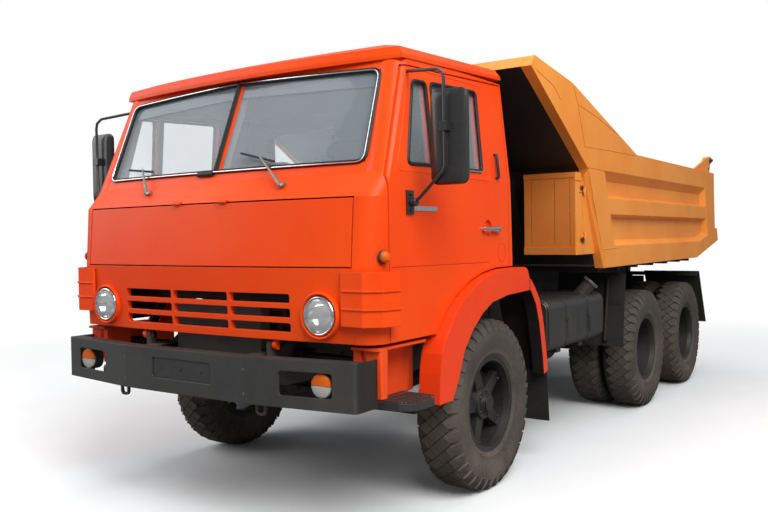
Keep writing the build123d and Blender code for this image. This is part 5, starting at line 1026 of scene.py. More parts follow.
# ---------------------------------------------------------------- cab trim
@dataclass
class Glazings:
    """Windscreen and door window seals, their bright beads and the shade band."""

    windscreen: tuple[Flat, ...] = ((-0.985, 1.892), (0.985, 1.892), (0.962, 2.378), (0.0, 2.412), (-0.962, 2.378))
    quarter: tuple[Flat, ...] = ((-0.796, 2.322), (-0.664, 2.330), (-0.655, 1.890), (-0.905, 1.885))
    main: tuple[Flat, ...] = ((-0.618, 2.334), (-0.108, 2.355), (-0.110, 1.890), (-0.618, 1.888))
    seal: float = 0.013
    bead: float = 0.0034

    def windscreen_trim(self) -> None:
        """Rubber seal, bright bead in it and the post between the two panes."""
        outline = rounded(self.windscreen, 0.05, 5, 14)
        seal = Form("windscreen_seal")
        seal.tube([CAB.front(x, z, 0.001) for x, z in outline], self.seal, 8, loop=True)
        seal.tube([CAB.front(0.0, z, 0.004) for z in (1.893, 2.07, 2.24, 2.411)], 0.0150, 8)
        seal.tube([CAB.front(x, 1.882, 0.010) for x in (-0.130, -0.070, -0.010)], 0.0135, 8)
        seal.done("cab", Finish.SEAL, "trim_black")
        bead = Form("windscreen_bead")
        bead.tube([CAB.front(x, z, 0.013) for x, z in outline], self.bead, 6, loop=True)
        bead.done("cab", Finish.CHROME, "trim_black")
        band, spans, reach = Form("windscreen_shade_band"), 24, 0.955
        xs = [-reach + 2 * reach * k / spans for k in range(spans + 1)]
        upper, lower = ([CAB.front(x, 2.406 - 0.034 * abs(x) / 0.962 - drop, -0.0105) for x in xs]
                        for drop in (0.002, 0.085))
        for a in range(spans):
            band.plate([upper[a], upper[a + 1], lower[a + 1], lower[a]], (0.0, 0.0008, 0.0))
        band.done("cab", Finish.GLASS_BAND, "glass", smooth=False)

    def door_trim(self) -> None:
        """Seals of the door windows and their bright inner edge."""
        for name, side in SIDES:
            seal, bead = Form("door_seal_" + name), Form("door_bead_" + name)
            for window in (self.quarter, self.main):
                seal.tube([CAB.side(y, z, side, -0.002) for y, z in rounded(window, 0.035, 5, 5)], 0.011, 8, loop=True)
            sill = [(self.main[3][0] + 0.03, self.main[3][1]), (-0.36, 1.889), (self.main[2][0] - 0.02, 1.890)]
            bead.tube([CAB.side(y, z - 0.004, side, 0.0075) for y, z in sill], 0.0045, 6)
            seal.done("door_" + name, Finish.SEAL, "trim_black")
            bead.done("door_" + name, Finish.CHROME, "trim_black")

    def rear_trim(self) -> None:
        """Seals of the two rear panes."""
        seal, middle_z, lean = Form("rear_window_seal"), 2.130, 0.0327
        y = FRONT_AXLE_Y + 0.230 + 0.020 * (2.450 - middle_z) / 0.612
        for _, side in SIDES:
            pane = rounded(rectangle((side * 0.5 - 0.32, 1.965), (side * 0.5 + 0.32, 2.295)), 0.05, 5, 4)
            seal.tube([(x, y + (middle_z - z) * lean, z) for x, z in pane], 0.011, 8, loop=True)
        seal.done("cab", Finish.SEAL, "trim_black")


@dataclass
class Lamps:
    """Headlamps, side signals, bumper lamps and tail lamps."""

    head: Point = (0.829, -3.188, 1.136)
    bumper: Point = (0.900, -3.272, 0.812)
    bend_x: float = 0.456

    def headlamps(self) -> None:
        """Bright ring, deep bowl and fluted lens of each headlamp, with the side signals."""
        ring, rim = Form("headlamp_rings"), Form("headlamp_rims")
        bowl, lens = Form("headlamp_bowls"), Form("headlamp_lenses")
        ring.turned([(0.030, 0.0985), (-0.006, 0.0985), (-0.012, 0.0955), (-0.015, 0.091), (-0.013, 0.088),
                     (0.010, 0.086), (0.030, 0.090)], self.head, ALONG, 48, closed=True)
        rim.turned([(0.030, 0.1015), (-0.006, 0.1025), (-0.0125, 0.1065), (-0.0135, 0.1120), (-0.010, 0.1165),
                    (0.002, 0.1185), (0.030, 0.1190)], self.head, ALONG, 48, closed=True)
        rim.mirrored().done("cab", Finish.CAB, "cab_paint")
        bowl.turned([(0.004, 0.088), (0.028, 0.078), (0.052, 0.058), (0.068, 0.030), (0.072, 0.010), (0.110, 0.010),
                     (0.110, 0.050), (0.070, 0.086), (0.030, 0.094), (0.004, 0.092)], self.head, ALONG, 40, closed=True)
        bowl.turned([(0.010, 0.0), (0.012, 0.013), (0.020, 0.017), (0.045, 0.012), (0.072, 0.012)],
                    self.head, ALONG, 16)
        lens.turned([(-0.024, 0.0), (-0.0235, 0.020), (-0.021, 0.045), (-0.0155, 0.070), (-0.010, 0.086),
                     (-0.006, 0.086), (-0.012, 0.069), (-0.017, 0.044), (-0.020, 0.0)], self.head, ALONG, 40)
        ring.mirrored().done("cab", Finish.CHROME, "lamp_glass", replaces=("cab_lamps",))
        bowl.mirrored().done("cab", Finish.CHROME, "lamp_glass")
        lens.mirrored().done("cab", Finish.LENS, "lamp_glass")
        base, amber = Form("signal_bases"), Form("side_signals")
        start, out = (1.1315, -3.0765, 1.422), (1, -0.2, 0)
        base.turned([(0.0, 0.033), (0.010, 0.033), (0.014, 0.029)], start, out, 28)
        amber.turned([(0.012, 0.029), (0.020, 0.0285), (0.029, 0.024), (0.035, 0.014), (0.037, 0.0)],
                     start, out, 28)
        base.mirrored().done("cab", Finish.BLACK_PLASTIC, "trim_black")
        amber.mirrored().done("cab", Finish.AMBER, "signal_lens")

    def bumper_seams(self) -> None:
        """Seam lines with their bolts at the bumper's two bends, and the dark bed of the blank plate recess."""
        seams, bolts, bare = Form("bumper_seams"), Form("bumper_bolts"), Form("plate_bed")
        seams.tube([(self.bend_x, -3.3478, z) for z in (0.704, 0.813, 0.922)], 0.0021, 6)
        for z in (0.745, 0.865):
            bolts.bolt((self.bend_x, -3.3415, z), (0, -1, 0), 0.0185, 0.006)
        bare.box((-0.222, 0.222), (-3.3446, -3.3436), (0.772, 0.874))
        for x in (-0.155, 0.0, 0.155):
            bare.bolt((x, -3.3445, 0.823), (0, -1, 0), 0.007, 0.003)
        seams.mirrored().done("chassis", Finish.SEAL, "chassis_paint")
        bolts.mirrored().done("chassis", Finish.WORN_STEEL, "steel")
        bare.done("chassis", Finish.BLACK_PAINT, "chassis_paint")

    def chassis_lamps(self) -> None:
        """Bumper lamps, amber above and clear below, and the tail lamps."""
        x, y, z = self.bumper
        shell, amber, clear = Form("bumper_lamp_shells"), Form("bumper_lamp_ambers"), Form("bumper_lamp_clears")
        shell.turned([(0.004, 0.062), (0.002, 0.065), (0.060, 0.065), (0.060, 0.004)], self.bumper, ALONG, 32)
        shell.box((x - 0.015, x + 0.015), (y + 0.027, y + 0.055), (0.870, 0.9197))
        for form, start in ((amber, 2.0), (clear, 182.0)):
            form.loft([circle((x, y + depth, z), radius, ACROSS, UP, 16, start, 176.0)
                       for depth, radius in ((0.003, 0.060), (-0.004, 0.058), (-0.009, 0.046), (-0.011, 0.020))])
        tail, red, tail_amber = Form("tail_lamp_shells"), Form("tail_lamp_reds"), Form("tail_lamp_ambers")
        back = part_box("chassis_lamps")[1].y
        tail.box((0.4405, 0.5995), (back - 0.069, back - 0.010), (0.9455, 1.0495))
        red.box((0.447, 0.518), (back - 0.012, back - 0.001), (0.952, 1.043))
        tail_amber.box((0.522, 0.593), (back - 0.012, back - 0.001), (0.952, 1.043))
        shell.mirrored().done("chassis", Finish.BLACK_PLASTIC, "black_plastic", replaces=("chassis_lamps",))
        amber.mirrored().done("chassis", Finish.AMBER, "signal_lens")
        clear.mirrored().done("chassis", Finish.CLEAR, "lamp_glass")
        tail.mirrored().done("chassis", Finish.BLACK_PLASTIC, "black_plastic", bevel=0.003)
        red.mirrored().done("chassis", Finish.RED, "signal_lens", bevel=0.004)
        tail_amber.mirrored().done("chassis", Finish.AMBER, "signal_lens", bevel=0.004)


@dataclass
class Wipers:
    """Two wiper arms with their blades, lying on the windscreen."""

    pivot_z: float = 1.791
    seat_z: float = 1.795
    arms: tuple[tuple[float, ...], ...] = (
        (0.542, 0.330, 1.960, 0.180, 1.985, 0.430, 1.925),
        (-0.500, -0.640, 1.945, -0.790, 1.950, -0.545, 1.925))

    def build(self) -> None:
        """Build the bright arms and the black blades."""
        arm, blade = Form("wiper_arms"), Form("wiper_blades")
        for pivot_x, tip_x, tip_z, start_x, start_z, end_x, end_z in self.arms:
            pivot = (pivot_x, CAB.front(pivot_x, self.seat_z, 0.034)[1], self.pivot_z)
            arm.turned([(0.0, 0.015), (0.020, 0.015), (0.036, 0.012), (0.042, 0.007)],
                       CAB.front(pivot_x, self.seat_z), (0, -1, -0.2), 16)
            tip = CAB.front(tip_x, tip_z, 0.033)
            knee = between(pivot, tip, 0.35)
            arm.tube([pivot, knee], 0.0095, 8)
            arm.tube([knee, tip], 0.0062, 8)
            for proud, radius in ((0.022, 0.0070), (0.013, 0.0050)):
                blade.tube([CAB.front(start_x, start_z, proud), CAB.front(end_x, end_z, proud)], radius, 6)
            start, end = CAB.front(start_x, start_z, 0.022), CAB.front(end_x, end_z, 0.022)
            x, y, z = between(start, end, 0.5)
            blade.tube([between(start, end, 0.2), (x, y - 0.008, z), between(start, end, 0.8)], 0.0035, 6)
        arm.done("cab", Finish.WORN_STEEL, "trim_black", replaces=("wipers",))
        blade.done("cab", Finish.BLACK_PLASTIC, "trim_black")


@dataclass
class DoorFittings:
    """Mirror with its tube arm, handle lever in its scoop, grab rail and bare badge plate."""

    arm_x: float = 1.350
    arm: tuple[Point, ...] = (
        (1.166, -0.905, 1.690), (1.200, -0.906, 1.718), (1.335, -0.924, 1.832), (1.350, -0.925, 1.860),
        (1.350, -0.930, 2.270), (1.344, -0.928, 2.305), (1.310, -0.920, 2.332), (1.270, -0.911, 2.336),
        (1.083, -0.839, 2.362))
    head_x: float = 1.352
    head_y: float = FRONT_AXLE_Y - 0.863
    head_z: float = 2.004
    head: Flat = (0.208, 0.470)
    shell: tuple[Flat, ...] = ((-0.0005, -0.004), (-0.010, 0.0), (-0.026, -0.002), (-0.036, -0.014),
                               (-0.0412, -0.040), (-0.0415, -0.070))
    lever_z: float = 1.556
    lever: tuple[Point, ...] = ((-0.146, 0.006, 0.008), (-0.136, 0.009, 0.014), (-0.10, 0.010, 0.013),
                                (0.0, 0.010, 0.015), (0.030, 0.011, 0.020), (0.052, 0.011, 0.021),
                                (0.066, 0.007, 0.013))
    frame: tuple[Flat, ...] = ((-0.812, 2.388), (-0.048, 2.398), (-0.010, 1.838), (-0.620, 1.850), (-1.010, 1.846))
    crease: tuple[Flat, ...] = ((-1.075, 1.369), (-0.55, 1.364), (-0.05, 1.360))
    rail: tuple[Flat, ...] = ((1.1272, 1.860), (1.144, 1.861), (1.1455, 1.875), (1.1335, 1.990), (1.131, 1.999),
                              (1.1143, 2.000))

    def ring(self, side: float, depth: float, grow: float, corner: float) -> list[Point]:
        """Rounded outline of the mirror's head.

        Args:
            side: 1 for left, -1 for right.
            depth: Distance behind the head's rear face.
            grow: Distance outside the head's outline.
            corner: Largest radius of its corners.

        Returns:
            The outline's points.
        """
        w, h = self.head[0] / 2 + grow, self.head[1] / 2 + grow
        return [(side * (self.head_x + a), self.head_y + depth, self.head_z + c)
                for a, c in rounded(rectangle((-w, -h), (w, h)), min(corner, 0.85 * w), 6, 3)]

    def mirror(self, name: str, side: float) -> None:
        """Arm, head and glass of one mirror.

        Args:
            name: left or right.
            side: 1 for left, -1 for right.
        """
        y = FRONT_AXLE_Y
        arm = Form("mirror_arm_" + name)
        arm.tube([(side * a, y + b, c) for a, b, c in self.arm], 0.0088, 10)
        arm.box((side * 1.1305, side * 1.1415), (y - 0.940, y - 0.880), (1.630, 1.750))
        arm.turned([(0.0, 0.022), (0.031, 0.022), (0.034, 0.018)], (side * 1.141, y - 0.905, 1.690), (side, 0, 0), 20)
        for z in (1.650, 1.730):
            arm.bolt((side * 1.1415, y - 0.910, z), (side, 0, 0), 0.016)
        arm.box((side * (self.arm_x - 0.020), side * (self.arm_x + 0.020)), (y - 0.942, y - 0.900), (2.027, 2.073))
        arm.done("door_" + name, Finish.BLACK_PAINT, "trim_black", bevel=0.002, replaces=("door_fittings_" + name,))
        shell, glass = Form("mirror_shell_" + name), Form("mirror_glass_" + name)
        shell.loft([self.ring(side, depth, grow, 0.045) for depth, grow in self.shell])
        shell.done("door_" + name, Finish.GLOSS_PLASTIC, "black_plastic")
        glass.plate(self.ring(side, -0.0015, -0.012, 0.036), (0, 0.0018, 0))
        glass.done("door_" + name, Finish.CHROME, "glass")

    def handle(self, name: str, side: float) -> None:
        """Bright lever, grab rail and bare badge plate of one door.

        Args:
            name: left or right.
            side: 1 for left, -1 for right.
        """
        y, lever_x = FRONT_AXLE_Y, side * 1.150
        lever, rail = Form("door_lever_" + name), Form("grab_rail_" + name)
        circle_points = circle((0.0, 0.0, 0.0), 1.0, ACROSS, UP, 12)
        lever.loft([[(lever_x + a * half, y + along, self.lever_z + c * tall) for a, _, c in circle_points]
                    for along, half, tall in self.lever])
        for along in (-0.125, 0.025):
            lever.turned([(0.0, 0.0135), (0.004, 0.013), (0.018, 0.010)], (side * 1.1303, y + along, self.lever_z),
                         (side, 0, 0), 16)
        lever.done("door_" + name, Finish.CHROME, "trim_black")
        rail.tube([(side * x, y + 0.060, z) for x, z in self.rail], 0.0088, 10)
        rail.done("door_" + name, Finish.BLACK_PAINT, "trim_black")
        badge = Form("badge_plate_" + name)
        badge.box((side * 1.1302, side * 1.1335), (y - 0.865, y - 0.639), (1.648, 1.673))
        badge.done("door_" + name, Finish.CHROME, "trim_black", bevel=0.0012)

    def pressings(self, name: str, side: float) -> None:
        """Pressed frame round the windows, and painted shadow lines along the crease and round the blanking cap of one
        door.

        Args:
            name: left or right.
            side: 1 for left, -1 for right.
        """
        frame, lines = Form("door_frame_pressing_" + name), Form("door_crease_shadows_" + name)
        frame.tube([CAB.side(y, z, side, -0.0035) for y, z in rounded(self.frame, 0.045, 5, 6)], 0.0060, 8, loop=True)
        frame.done("door_" + name, Finish.CAB, "cab_paint")
        lines.tube([CAB.side(y, z, side, -0.0004) for y, z in self.crease], 0.0016, 6)
        turns = [2 * math.pi * k / 28 for k in range(28)]
        lines.tube([CAB.side(0.120 + 0.050 * math.cos(t), 1.413 + 0.058 * math.sin(t), side, -0.0006)
                    for t in turns], 0.0016, 6, loop=True)
        lines.done("door_" + name, Finish.CREASE_SHADOW, "cab_paint")

    def build(self) -> None:
        """Build both doors' fittings."""
        for name, side in SIDES:
            self.mirror(name, side)
            self.handle(name, side)
            self.pressings(name, side)


# ---------------------------------------------------------------- inside the cab
@dataclass
class Seats:
    """Two sprung seats: pedestal, cushion, backrest and head cushion, each a crowned pad."""

    inner: float = 0.425
    outer: float = 0.995
    front_y: float = -2.444
    back_y: float = -1.908
    frames: tuple[tuple[float, float, Flat], ...] = (
        (0.04, 0.06, (1.2302, 1.270)), (0.09, 0.10, (1.268, 1.400)), (0.02, 0.02, (1.398, 1.432)))

    def pad(self, name: str, low: Point, high: Point, lean: float = 0.0, channels: int = 0,
            upright: bool = False) -> bpy.types.Object:
        """Make one crowned pad with sewn channels.

        Args:
            name: Name of the piece.
            low: Lowest corner.
            high: Highest corner.
            lean: How far its top stands behind its foot.
            channels: Number of sewn channels across it.
            upright: The crowned face looks forward, not up.

        Returns:
            The pad.
        """
        form = Form(name)
        middle = [(a + b) / 2 for a, b in zip(low, high)]
        half = [(b - a) / 2 for a, b in zip(low, high)]
        rows, steps, channel_depth = 17, 40, 0.10
        rings = []

        def blunted(value: float, power: float) -> float:
            """A sine or cosine with its curve squared off."""
            return math.copysign(abs(value) ** power, value)

        for i in range(rows):
            turn = -math.pi / 2 + math.pi * i / (rows - 1)
            level = blunted(math.sin(turn), 0.45)
            reach = max(math.cos(turn), 0.0) ** 0.32 if 0 < i < rows - 1 else 0.12
            ring = []
            for k in range(steps):
                angle = 2 * math.pi * k / steps
                u, v = blunted(math.cos(angle), 0.42) * reach, blunted(math.sin(angle), 0.42) * reach
                pinch = 1.0 - 0.045 * (1 - abs(u)) * abs(v) ** 3 - 0.045 * (1 - abs(v)) * abs(u) ** 3
                crown = level * (1.0 - 0.16 * (u * u + v * v) / 2)
                if channels and level > 0:
                    crown -= channel_depth * max(0.0, 1 - abs(math.sin(math.pi * (v * 0.5 + 0.5) * channels)) * 5)
                face = (-crown, v * pinch) if upright else (v * pinch, crown)
                spot = (u * half[0] * pinch, face[0] * half[1], face[1] * half[2])
                share = (spot[2] + half[2]) / (2 * half[2])
                ring.append((middle[0] + spot[0], middle[1] + spot[1] + lean * share, middle[2] + spot[2]))
            rings.append(ring)
        form.loft(rings)
        made = form.done("cab", Finish.CLOTH, "seat_cloth")
        softened = made.modifiers.new("softened", "SUBSURF")
        softened.levels = softened.render_levels = 1
        return made

    def build(self) -> None:
        """Build both seats."""
        for name, side in SIDES:
            x0, x1 = sorted((side * self.inner, side * self.outer))
            cushion = self.pad("seat_cushion_" + name, (x0, self.front_y + 0.004, 1.425),
                               (x1, self.back_y - 0.004, 1.560), channels=5)
            back = self.pad("seat_back_" + name, (x0 + 0.01, self.back_y - 0.055, 1.545),
                            (x1 - 0.01, self.back_y + 0.045, 1.930), lean=0.085, channels=6, upright=True)
            head = self.pad("seat_head_" + name, (x0 + 0.13, self.back_y + 0.050, 1.925),
                            (x1 - 0.13, self.back_y + 0.130, 2.075), lean=0.01, upright=True)
            if side > 0:
                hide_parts("seats")
            frame = Form("seat_frame_" + name)
            for dx, dy, z in self.frames:
                frame.box((x0 + dx, x1 - dx), (self.front_y + dy, self.back_y - dy), z)
            frame.done("cab", Finish.BLACK_PLASTIC, "black_plastic", bevel=0.006)


# ---------------------------------------------------------------- bed trim
@dataclass
class Toolboxes:
    """Board fronts of the two toolboxes under the canopy, held by steel bands, and their hooks."""

    x: Flat = (0.805, 1.200)
    boards_z: Flat = (1.373, 1.955)
    bands_z: tuple[Flat, ...] = ((1.3715, 1.426), (1.917, 1.9565))
    front_y: float = -0.781
    seams: tuple[float, ...] = (0.862, 1.042, 1.157)
    hook_x: float = 1.2085
    hook_z: tuple[float, ...] = (1.475, 1.845)

    def build(self) -> None:
        """Build boards, bands and hooks on both lids."""
        for name, side in SIDES:
            boards, bands, hooks = (Form(f"toolbox_{part}_{name}") for part in ("boards", "bands", "hooks"))
            edges = (self.x[0] + 0.001, *self.seams, self.x[1] - 0.001)
            for low, high in zip(edges, edges[1:]):
                boards.box((side * (low + 0.0015), side * (high - 0.0015)),
                           (self.front_y - 0.004, self.front_y + 0.002), self.boards_z)
            for limits in self.bands_z:
                bands.box((side * self.x[0], side * (self.x[1] - 0.0005)),
                          (self.front_y - 0.0075, self.front_y - 0.0035), limits)
            for z in self.hook_z:
                bend = ((-0.700, 0.018), (-0.700, -0.012), (-0.684, -0.012), (-0.684, 0.002))
                hooks.tube([(side * self.hook_x, y, z + dz) for y, dz in bend], 0.0032, 6)
                hooks.box((side * 1.2058, side * 1.2092), (-0.672, -0.655), (z - 0.021, z + 0.021))
                hooks.tube([(side * 1.2105, -0.666, z + dz) for dz in (-0.024, 0.0, 0.024)], 0.0035, 6)
            # The boards and bands take the bed's ochre darkened as painted shade.
            boards.done("toolbox_lid_" + name, Finish.BED_IN_SHADE, "bed_paint", bevel=0.0015)
            bands.done("toolbox_lid_" + name, Finish.BED_IN_SHADE, "bed_paint", bevel=0.001)
            hooks.done("toolbox_lid_" + name, Finish.BLACK_PAINT, "steel")


@dataclass
class BedTrim:
    """Weld lines and folds on the bed's sides, and the pins that hold the tailgate's upper corners."""

    skin_x: float = 1.2500
    boss_x: float = 1.2035
    bracket_x: float = 1.1995
    pin: Flat = (3.190, 2.310)
    bolt: Flat = (3.140, 2.215)
    folds: tuple[tuple[Flat, ...], ...] = (
        ((-0.723, 2.138), (-0.153, 2.150), (0.447, 2.160)), ((-0.381, 1.404), (-0.210, 1.405), (-0.059, 1.407)))
    welds: tuple[tuple[Flat, ...], ...] = (
        ((-0.922, 2.528), (-0.855, 2.424), (-0.723, 2.138)), ((-1.540, 2.545), (-1.271, 2.483), (-1.161, 2.410)),
        ((-0.855, 2.418), (-0.440, 2.365), (-0.040, 2.291)), ((-0.655, 1.960), (-0.534, 1.702), (-0.395, 1.420)),
        ((-0.655, 1.992), (-0.480, 1.990), (-0.306, 1.987)))

    def build(self) -> None:
        """Build the lines of both sides and the tailgate's pins."""
        folds, welds, pins = Form("bed_folds"), Form("bed_weld_lines"), Form("tailgate_pins")
        for line in self.folds:
            folds.tube([(self.skin_x - 0.0010, y, z) for y, z in line], 0.0042, 8)
        for line in self.welds:
            welds.tube([(self.skin_x + 0.0002, y, z) for y, z in line], 0.0017, 6)
        pins.turned([(0.0, 0.030), (0.012, 0.030), (0.016, 0.026), (0.016, 0.014), (0.030, 0.014), (0.032, 0.011)],
                    (self.boss_x, *self.pin), ACROSS, 24)
        pins.bolt((self.bracket_x, *self.bolt), ACROSS, 0.020, 0.007)
        folds.mirrored().done("bed", Finish.BED, "bed_paint")
        # The weld lines are real; their darker ochre is painted shade.
        welds.mirrored().done("bed", Finish.BED_IN_SHADE, "bed_paint")
        pins.mirrored().done("bed", Finish.BLACK_PAINT, "steel")


# ---------------------------------------------------------------- chassis trim
@dataclass
class Steps:
    """Bars and studs of the two lower steps' gratings, and the sheets behind the steps."""

    x: Flat = (0.985, 1.205)
    y: Flat = (-2.975, -2.700)
    top: float = 0.700
    rows: int = 9
    studs: int = 8
    first_cut: float = 0.0525

    def build(self) -> None:
        """Build the gratings and the sheets."""
        bars, sheet = Form("step_bars"), Form("step_backs")
        for i in range(self.rows):
            y = self.y[0] + (self.y[1] - self.y[0]) * (i + 0.5) / self.rows
            bars.box((self.x[0], self.x[1] - 0.012 - (0.0 if i else self.first_cut)), (y - 0.004, y + 0.004),
                     (self.top - 0.001, self.top + 0.006))
            for k in range(self.studs):
                bars.turned([(0.0, 0.0055), (0.0035, 0.0045), (0.0045, 0.0)],
                            (self.x[0] + 0.014 + 0.024 * k, y + 0.0145, self.top), UP, 8)
        bars.mirrored().done("chassis", Finish.WORN_STEEL, "chassis_paint", bevel=0.001)
        sheet.box((0.9585, 0.9625), (-2.671, -2.560), (0.690, 0.980))
        sheet.box((0.9595, 0.9665), (-2.676, -2.670), (0.690, 0.980))
        sheet.mirrored().done("chassis", Finish.STEP, "cab_paint", bevel=0.001)


@dataclass
class TankTrim:
    """Ribs, strap bolts and filler cap of the fuel tank."""

    x: Flat = (0.690, 1.150)
    z: Flat = (0.715, 1.074)
    corner: float = 0.0945

    def section(self, y: float, grow: float) -> list[Point]:
        """The tank's outline at one place along it.

        Args:
            y: Place along the tank.
            grow: Distance outside the skin.

        Returns:
            The outline's points.
        """
        corners = rectangle((self.x[0] - grow, self.z[0] - grow), (self.x[1] + grow, self.z[1] + grow))
        return [(a, y, b) for a, b in rounded(corners, self.corner, 6, 1)]

    def build(self) -> None:
        """Build the ribs, the strap bolts and the cap's knurling."""
        ribs, bolts, cap = Form("tank_ribs"), Form("tank_bolts"), Form("filler_cap")
        for y in (-1.140, -0.630, -0.590, -0.112):
            ribs.loft([self.section(y + dy, grow)
                       for dy, grow in ((-0.010, -0.0005), (-0.004, 0.0035), (0.004, 0.0035), (0.010, -0.0005))])
        ribs.done("chassis", Finish.CHASSIS, "chassis_paint")
        for y in (-0.820, -0.400):
            for dy in (-0.022, 0.022):
                bolts.tube([(1.1565, y + dy * 0.4, 0.790), (1.1575, y + dy * 0.4, 0.910)], 0.006, 8)
            bolts.box((1.150, 1.163), (y - 0.030, y + 0.030), (0.905, 0.925))
            for dy in (-0.009, 0.009):
                bolts.bolt((1.157, y + dy, 0.925), UP, 0.020)
        bolts.done("chassis", Finish.BLACK_PAINT, "steel", bevel=0.001)
        axis = Vector((0.090, 0.040, 0.110)).normalized()
        end = Vector((self.x[1] - 0.020, -0.330, self.z[1] + 0.070)) + axis * 0.0225
        cap.turned([(-0.018, 0.0585), (-0.012, 0.0605), (-0.003, 0.0605), (0.0015, 0.056), (0.0020, 0.020),
                    (0.0030, 0.0)], end, axis, 32)
        first = axis.orthogonal().normalized()
        for out in circle((0.0, 0.0, 0.0), 0.061, first, axis.cross(first), 10):
            cap.tube([end + Vector(out) - axis * 0.016, end + Vector(out) - axis * 0.004], 0.004, 6)
        cap.done("chassis", Finish.WORN_STEEL, "steel")


@dataclass
class FrameTrim:
    """Bolts along the frame rails and the air lines beside them."""

    rail_x: float = 0.432
    bolts_y: tuple[float, ...] = (-2.620, -2.500, -1.610, -1.480, -0.300, -0.180, 0.330, 0.420, 1.460, 1.540, 1.620,
                                  2.560, 2.640, 2.800, 2.860)
    upper_bolts_y: tuple[float, ...] = (-0.760, 0.120, 1.060, 1.980, 2.620)
    lines_z: tuple[float, ...] = (0.880, 0.900, 0.920)

    def build(self) -> None:
        """Build what is bolted to the frame."""
        bolts, lines = Form("frame_bolts"), Form("air_lines")
        for y in self.bolts_y:
            for z in (0.835, 0.955):
                bolts.bolt((self.rail_x, y, z), ACROSS, 0.024)
        for y in self.upper_bolts_y:
            bolts.bolt((self.rail_x + 0.005, y, 1.050), ACROSS, 0.022)
        bolts.mirrored().done("chassis", Finish.CHASSIS, "chassis_paint")
        for k, z in enumerate(self.lines_z):
            y0, y1, spans = -0.050 + 0.02 * k, 2.640, 6
            path = [(self.rail_x - 0.026, y0, z)]
            path += [(self.rail_x - 0.024, y0 + (y1 - y0) * t / spans, z + 0.006 * (t % 2))
                     for t in range(1, spans + 1)]
            lines.tube(path, 0.006, 8)
        lines.mirrored().done("chassis", Finish.SHEET_RUBBER, "rubber")


# ---------------------------------------------------------------- carried-over solids
@dataclass
class Dressing:
    """Which finish each kept solid of the frame takes."""

    groups: tuple[tuple[Finish, str], ...] = (
        (Finish.CAB, "cab_shell hood_panel front_panel corner_deflectors door_left door_right"),
        (Finish.FENDER, "fenders"), (Finish.FENDER_TAIL, "fender_tails"), (Finish.STEP, "steps"),
        (Finish.BUMPER, "bumper"), (Finish.DASH, "dashboard"), (Finish.ENGINE, "engine"),
        (Finish.GLASS, "cab_glass door_glass_left door_glass_right"),
        (Finish.BED_INSIDE, "bed_floor"), (Finish.BED_FRONT, "bed_front"),
        (Finish.BED, "bed_sides tailgate toolboxes toolbox_lid_left toolbox_lid_right"),
        (Finish.STEEL, "hoist_stage_1 hoist_stage_2"), (Finish.WORN_STEEL, "exhaust"),
        (Finish.CHASSIS, "step_plates fuel_tank battery_box"), (Finish.SHEET_RUBBER, "mudguards"),
        (Finish.WHEEL, "front_hub_left front_hub_right rear_wheel_left_1 rear_wheel_left_2 rear_wheel_right_1 "
                       "rear_wheel_right_2"),
        (Finish.BLACK_PLASTIC, "air_intake"))

    def apply(self, nodes: dict[str, bpy.types.Object]) -> None:
        """Give every solid its finish, or that of the underside if it isn't listed.

        Args:
            nodes: The frame's solids by name.
        """
        finishes = {name: finish for finish, names in self.groups for name in names.split()}
        for name, node in nodes.items():
            finish = finishes.get(name, Finish.UNDERSIDE)
            node.data.materials.clear()
            node.data.materials.append(finish.material)
            LOG.info("%s takes %s", name, finish.name)


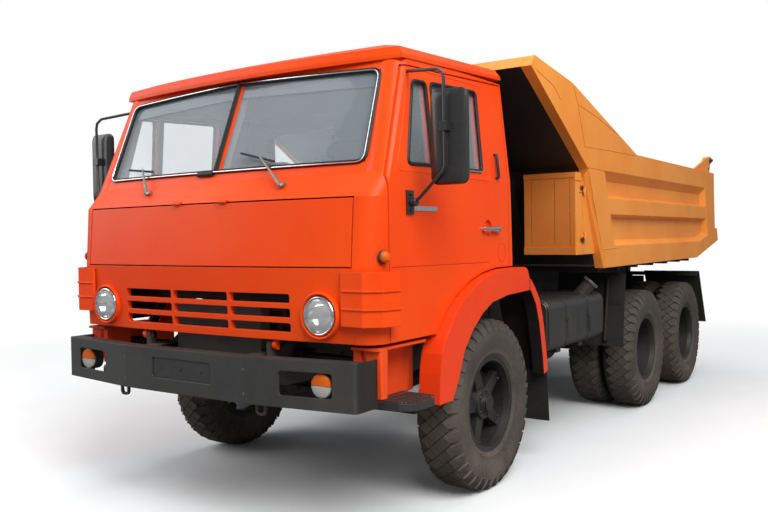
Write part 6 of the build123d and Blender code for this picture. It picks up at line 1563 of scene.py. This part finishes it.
# ---------------------------------------------------------------- studio
@dataclass
class Studio:
    """Camera, pale floor and soft light."""

    place: Point = (3.3406, -6.2578, 1.5180)
    yaw: float = 34.683
    pitch: float = 1.353
    roll: float = -0.810
    lens: float = 37.98
    fade: Flat = (3.6, 8.5)

    def camera(self) -> None:
        """Create the camera and make it the scene's."""
        yaw, pitch, roll = (math.radians(a) for a in (self.yaw, self.pitch, self.roll))
        forward = Vector((-math.sin(yaw) * math.cos(pitch), math.cos(yaw) * math.cos(pitch), -math.sin(pitch)))
        right = Vector((math.cos(yaw), math.sin(yaw), 0.0))
        up = right.cross(forward)
        tilted_right = right * math.cos(roll) + up * math.sin(roll)
        tilted_up = up * math.cos(roll) - right * math.sin(roll)
        data = bpy.data.cameras.new("camera")
        data.lens = self.lens
        data.sensor_width = 36.0
        data.clip_end = 200.0
        made = stand("camera", data)
        turn = Matrix((tilted_right, tilted_up, -forward)).transposed()
        made.matrix_world = Matrix.Translation(self.place) @ turn.to_4x4()
        bpy.context.scene.camera = made

    def floor(self) -> None:
        """Lay the pale floor."""
        mesh, size = bpy.data.meshes.new("floor"), 60.0
        mesh.from_pydata([(x, y, 0) for x, y in rectangle((-size, -size), (size, size))], [], [(0, 1, 2, 3)])
        made = stand("floor", mesh)
        material, work, shader = blank_material("pale_floor")
        place = work.place()
        grain = work.ramp(work.noise(place, 1.3, 6.0, 0.6), 0.3, 0.7)
        seen = work.add("LightPath").outputs["Is Camera Ray"]
        pale = work.mix(grain, (0.93, 0.93, 0.93), (0.97, 0.97, 0.97))
        work.feed(shader, Base_Color=work.mix(seen, (0.26, 0.26, 0.26), pale), Roughness=0.9, Specular_IOR_Level=0.1)
        away = work.add("VectorMath", operation="LENGTH")
        work.put(away.inputs[0], place)
        blend = work.add("MixShader")
        blank = work.add("Emission", Strength=1.0)
        far = work.product(work.ramp(away.outputs["Value"], *self.fade), seen)
        for socket, source in zip(blend.inputs, (far, shader.outputs[0], blank.outputs[0])):
            work.put(socket, source)
        work.feed(material.node_tree.nodes["Material Output"], Surface=blend.outputs[0])
        mesh.materials.append(material)

    def light(self) -> None:
        """Set the soft lamps and the pale surroundings."""
        for name, place, aim, size, power in (
                ("key_lamp", (7.5, -6.5, 8.5), (0.0, -0.8, 1.2), 7.0, 1380.0),
                ("fill_lamp", (-9.0, -7.0, 6.5), (0.0, 0.0, 1.2), 9.0, 600.0),
                ("top_lamp", (0.0, 1.5, 11.0), (0.0, 0.0, 0.0), 9.0, 420.0)):
            data = bpy.data.lights.new(name, "AREA")
            data.shape = "SQUARE"
            data.size = size
            data.energy = power
            made = stand(name, data)
            made.location = place
            made.rotation_euler = (Vector(aim) - Vector(place)).to_track_quat("-Z", "Y").to_euler()
        world = bpy.data.worlds.new("pale_room")
        bpy.context.scene.world = world
        world.use_nodes = True
        work = Tree(world.node_tree)
        rays = work.add("LightPath")
        seen = work.maths("MAXIMUM", rays.outputs["Is Camera Ray"], rays.outputs["Is Transmission Ray"])
        work.feed(world.node_tree.nodes["Background"], Color=work.mix(seen, (0.50, 0.53, 0.56), (1.0, 1.0, 1.0)),
                  Strength=work.total(0.62, work.product(seen, 0.38)))
        bpy.context.scene.view_settings.view_transform = "Standard"


def main() -> None:
    """Load the frame, dress it and set the scene."""
    logging.basicConfig(level=logging.INFO, format="%(message)s")
    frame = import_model()
    wheels, glazings, lamps = Wheels(), Glazings(), Lamps()
    for label, build in (
            ("front tyres", wheels.front), ("rear tyres", wheels.rear), ("spare tyre", wheels.spare),
            ("windscreen trim", glazings.windscreen_trim), ("door window trim", glazings.door_trim),
            ("rear window trim", glazings.rear_trim), ("headlamps", lamps.headlamps),
            ("chassis lamps", lamps.chassis_lamps), ("bumper seams", lamps.bumper_seams), ("wipers", Wipers().build),
            ("door fittings", DoorFittings().build), ("seats", Seats().build), ("toolboxes", Toolboxes().build),
            ("bed trim", BedTrim().build), ("steps", Steps().build), ("tank", TankTrim().build),
            ("frame fittings", FrameTrim().build)):
        build()
        LOG.info("built %s", label)
    Dressing().apply(frame["nodes"])
    studio = Studio()
    studio.floor()
    studio.light()
    studio.camera()
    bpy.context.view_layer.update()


if __name__ == "__main__":
    main()
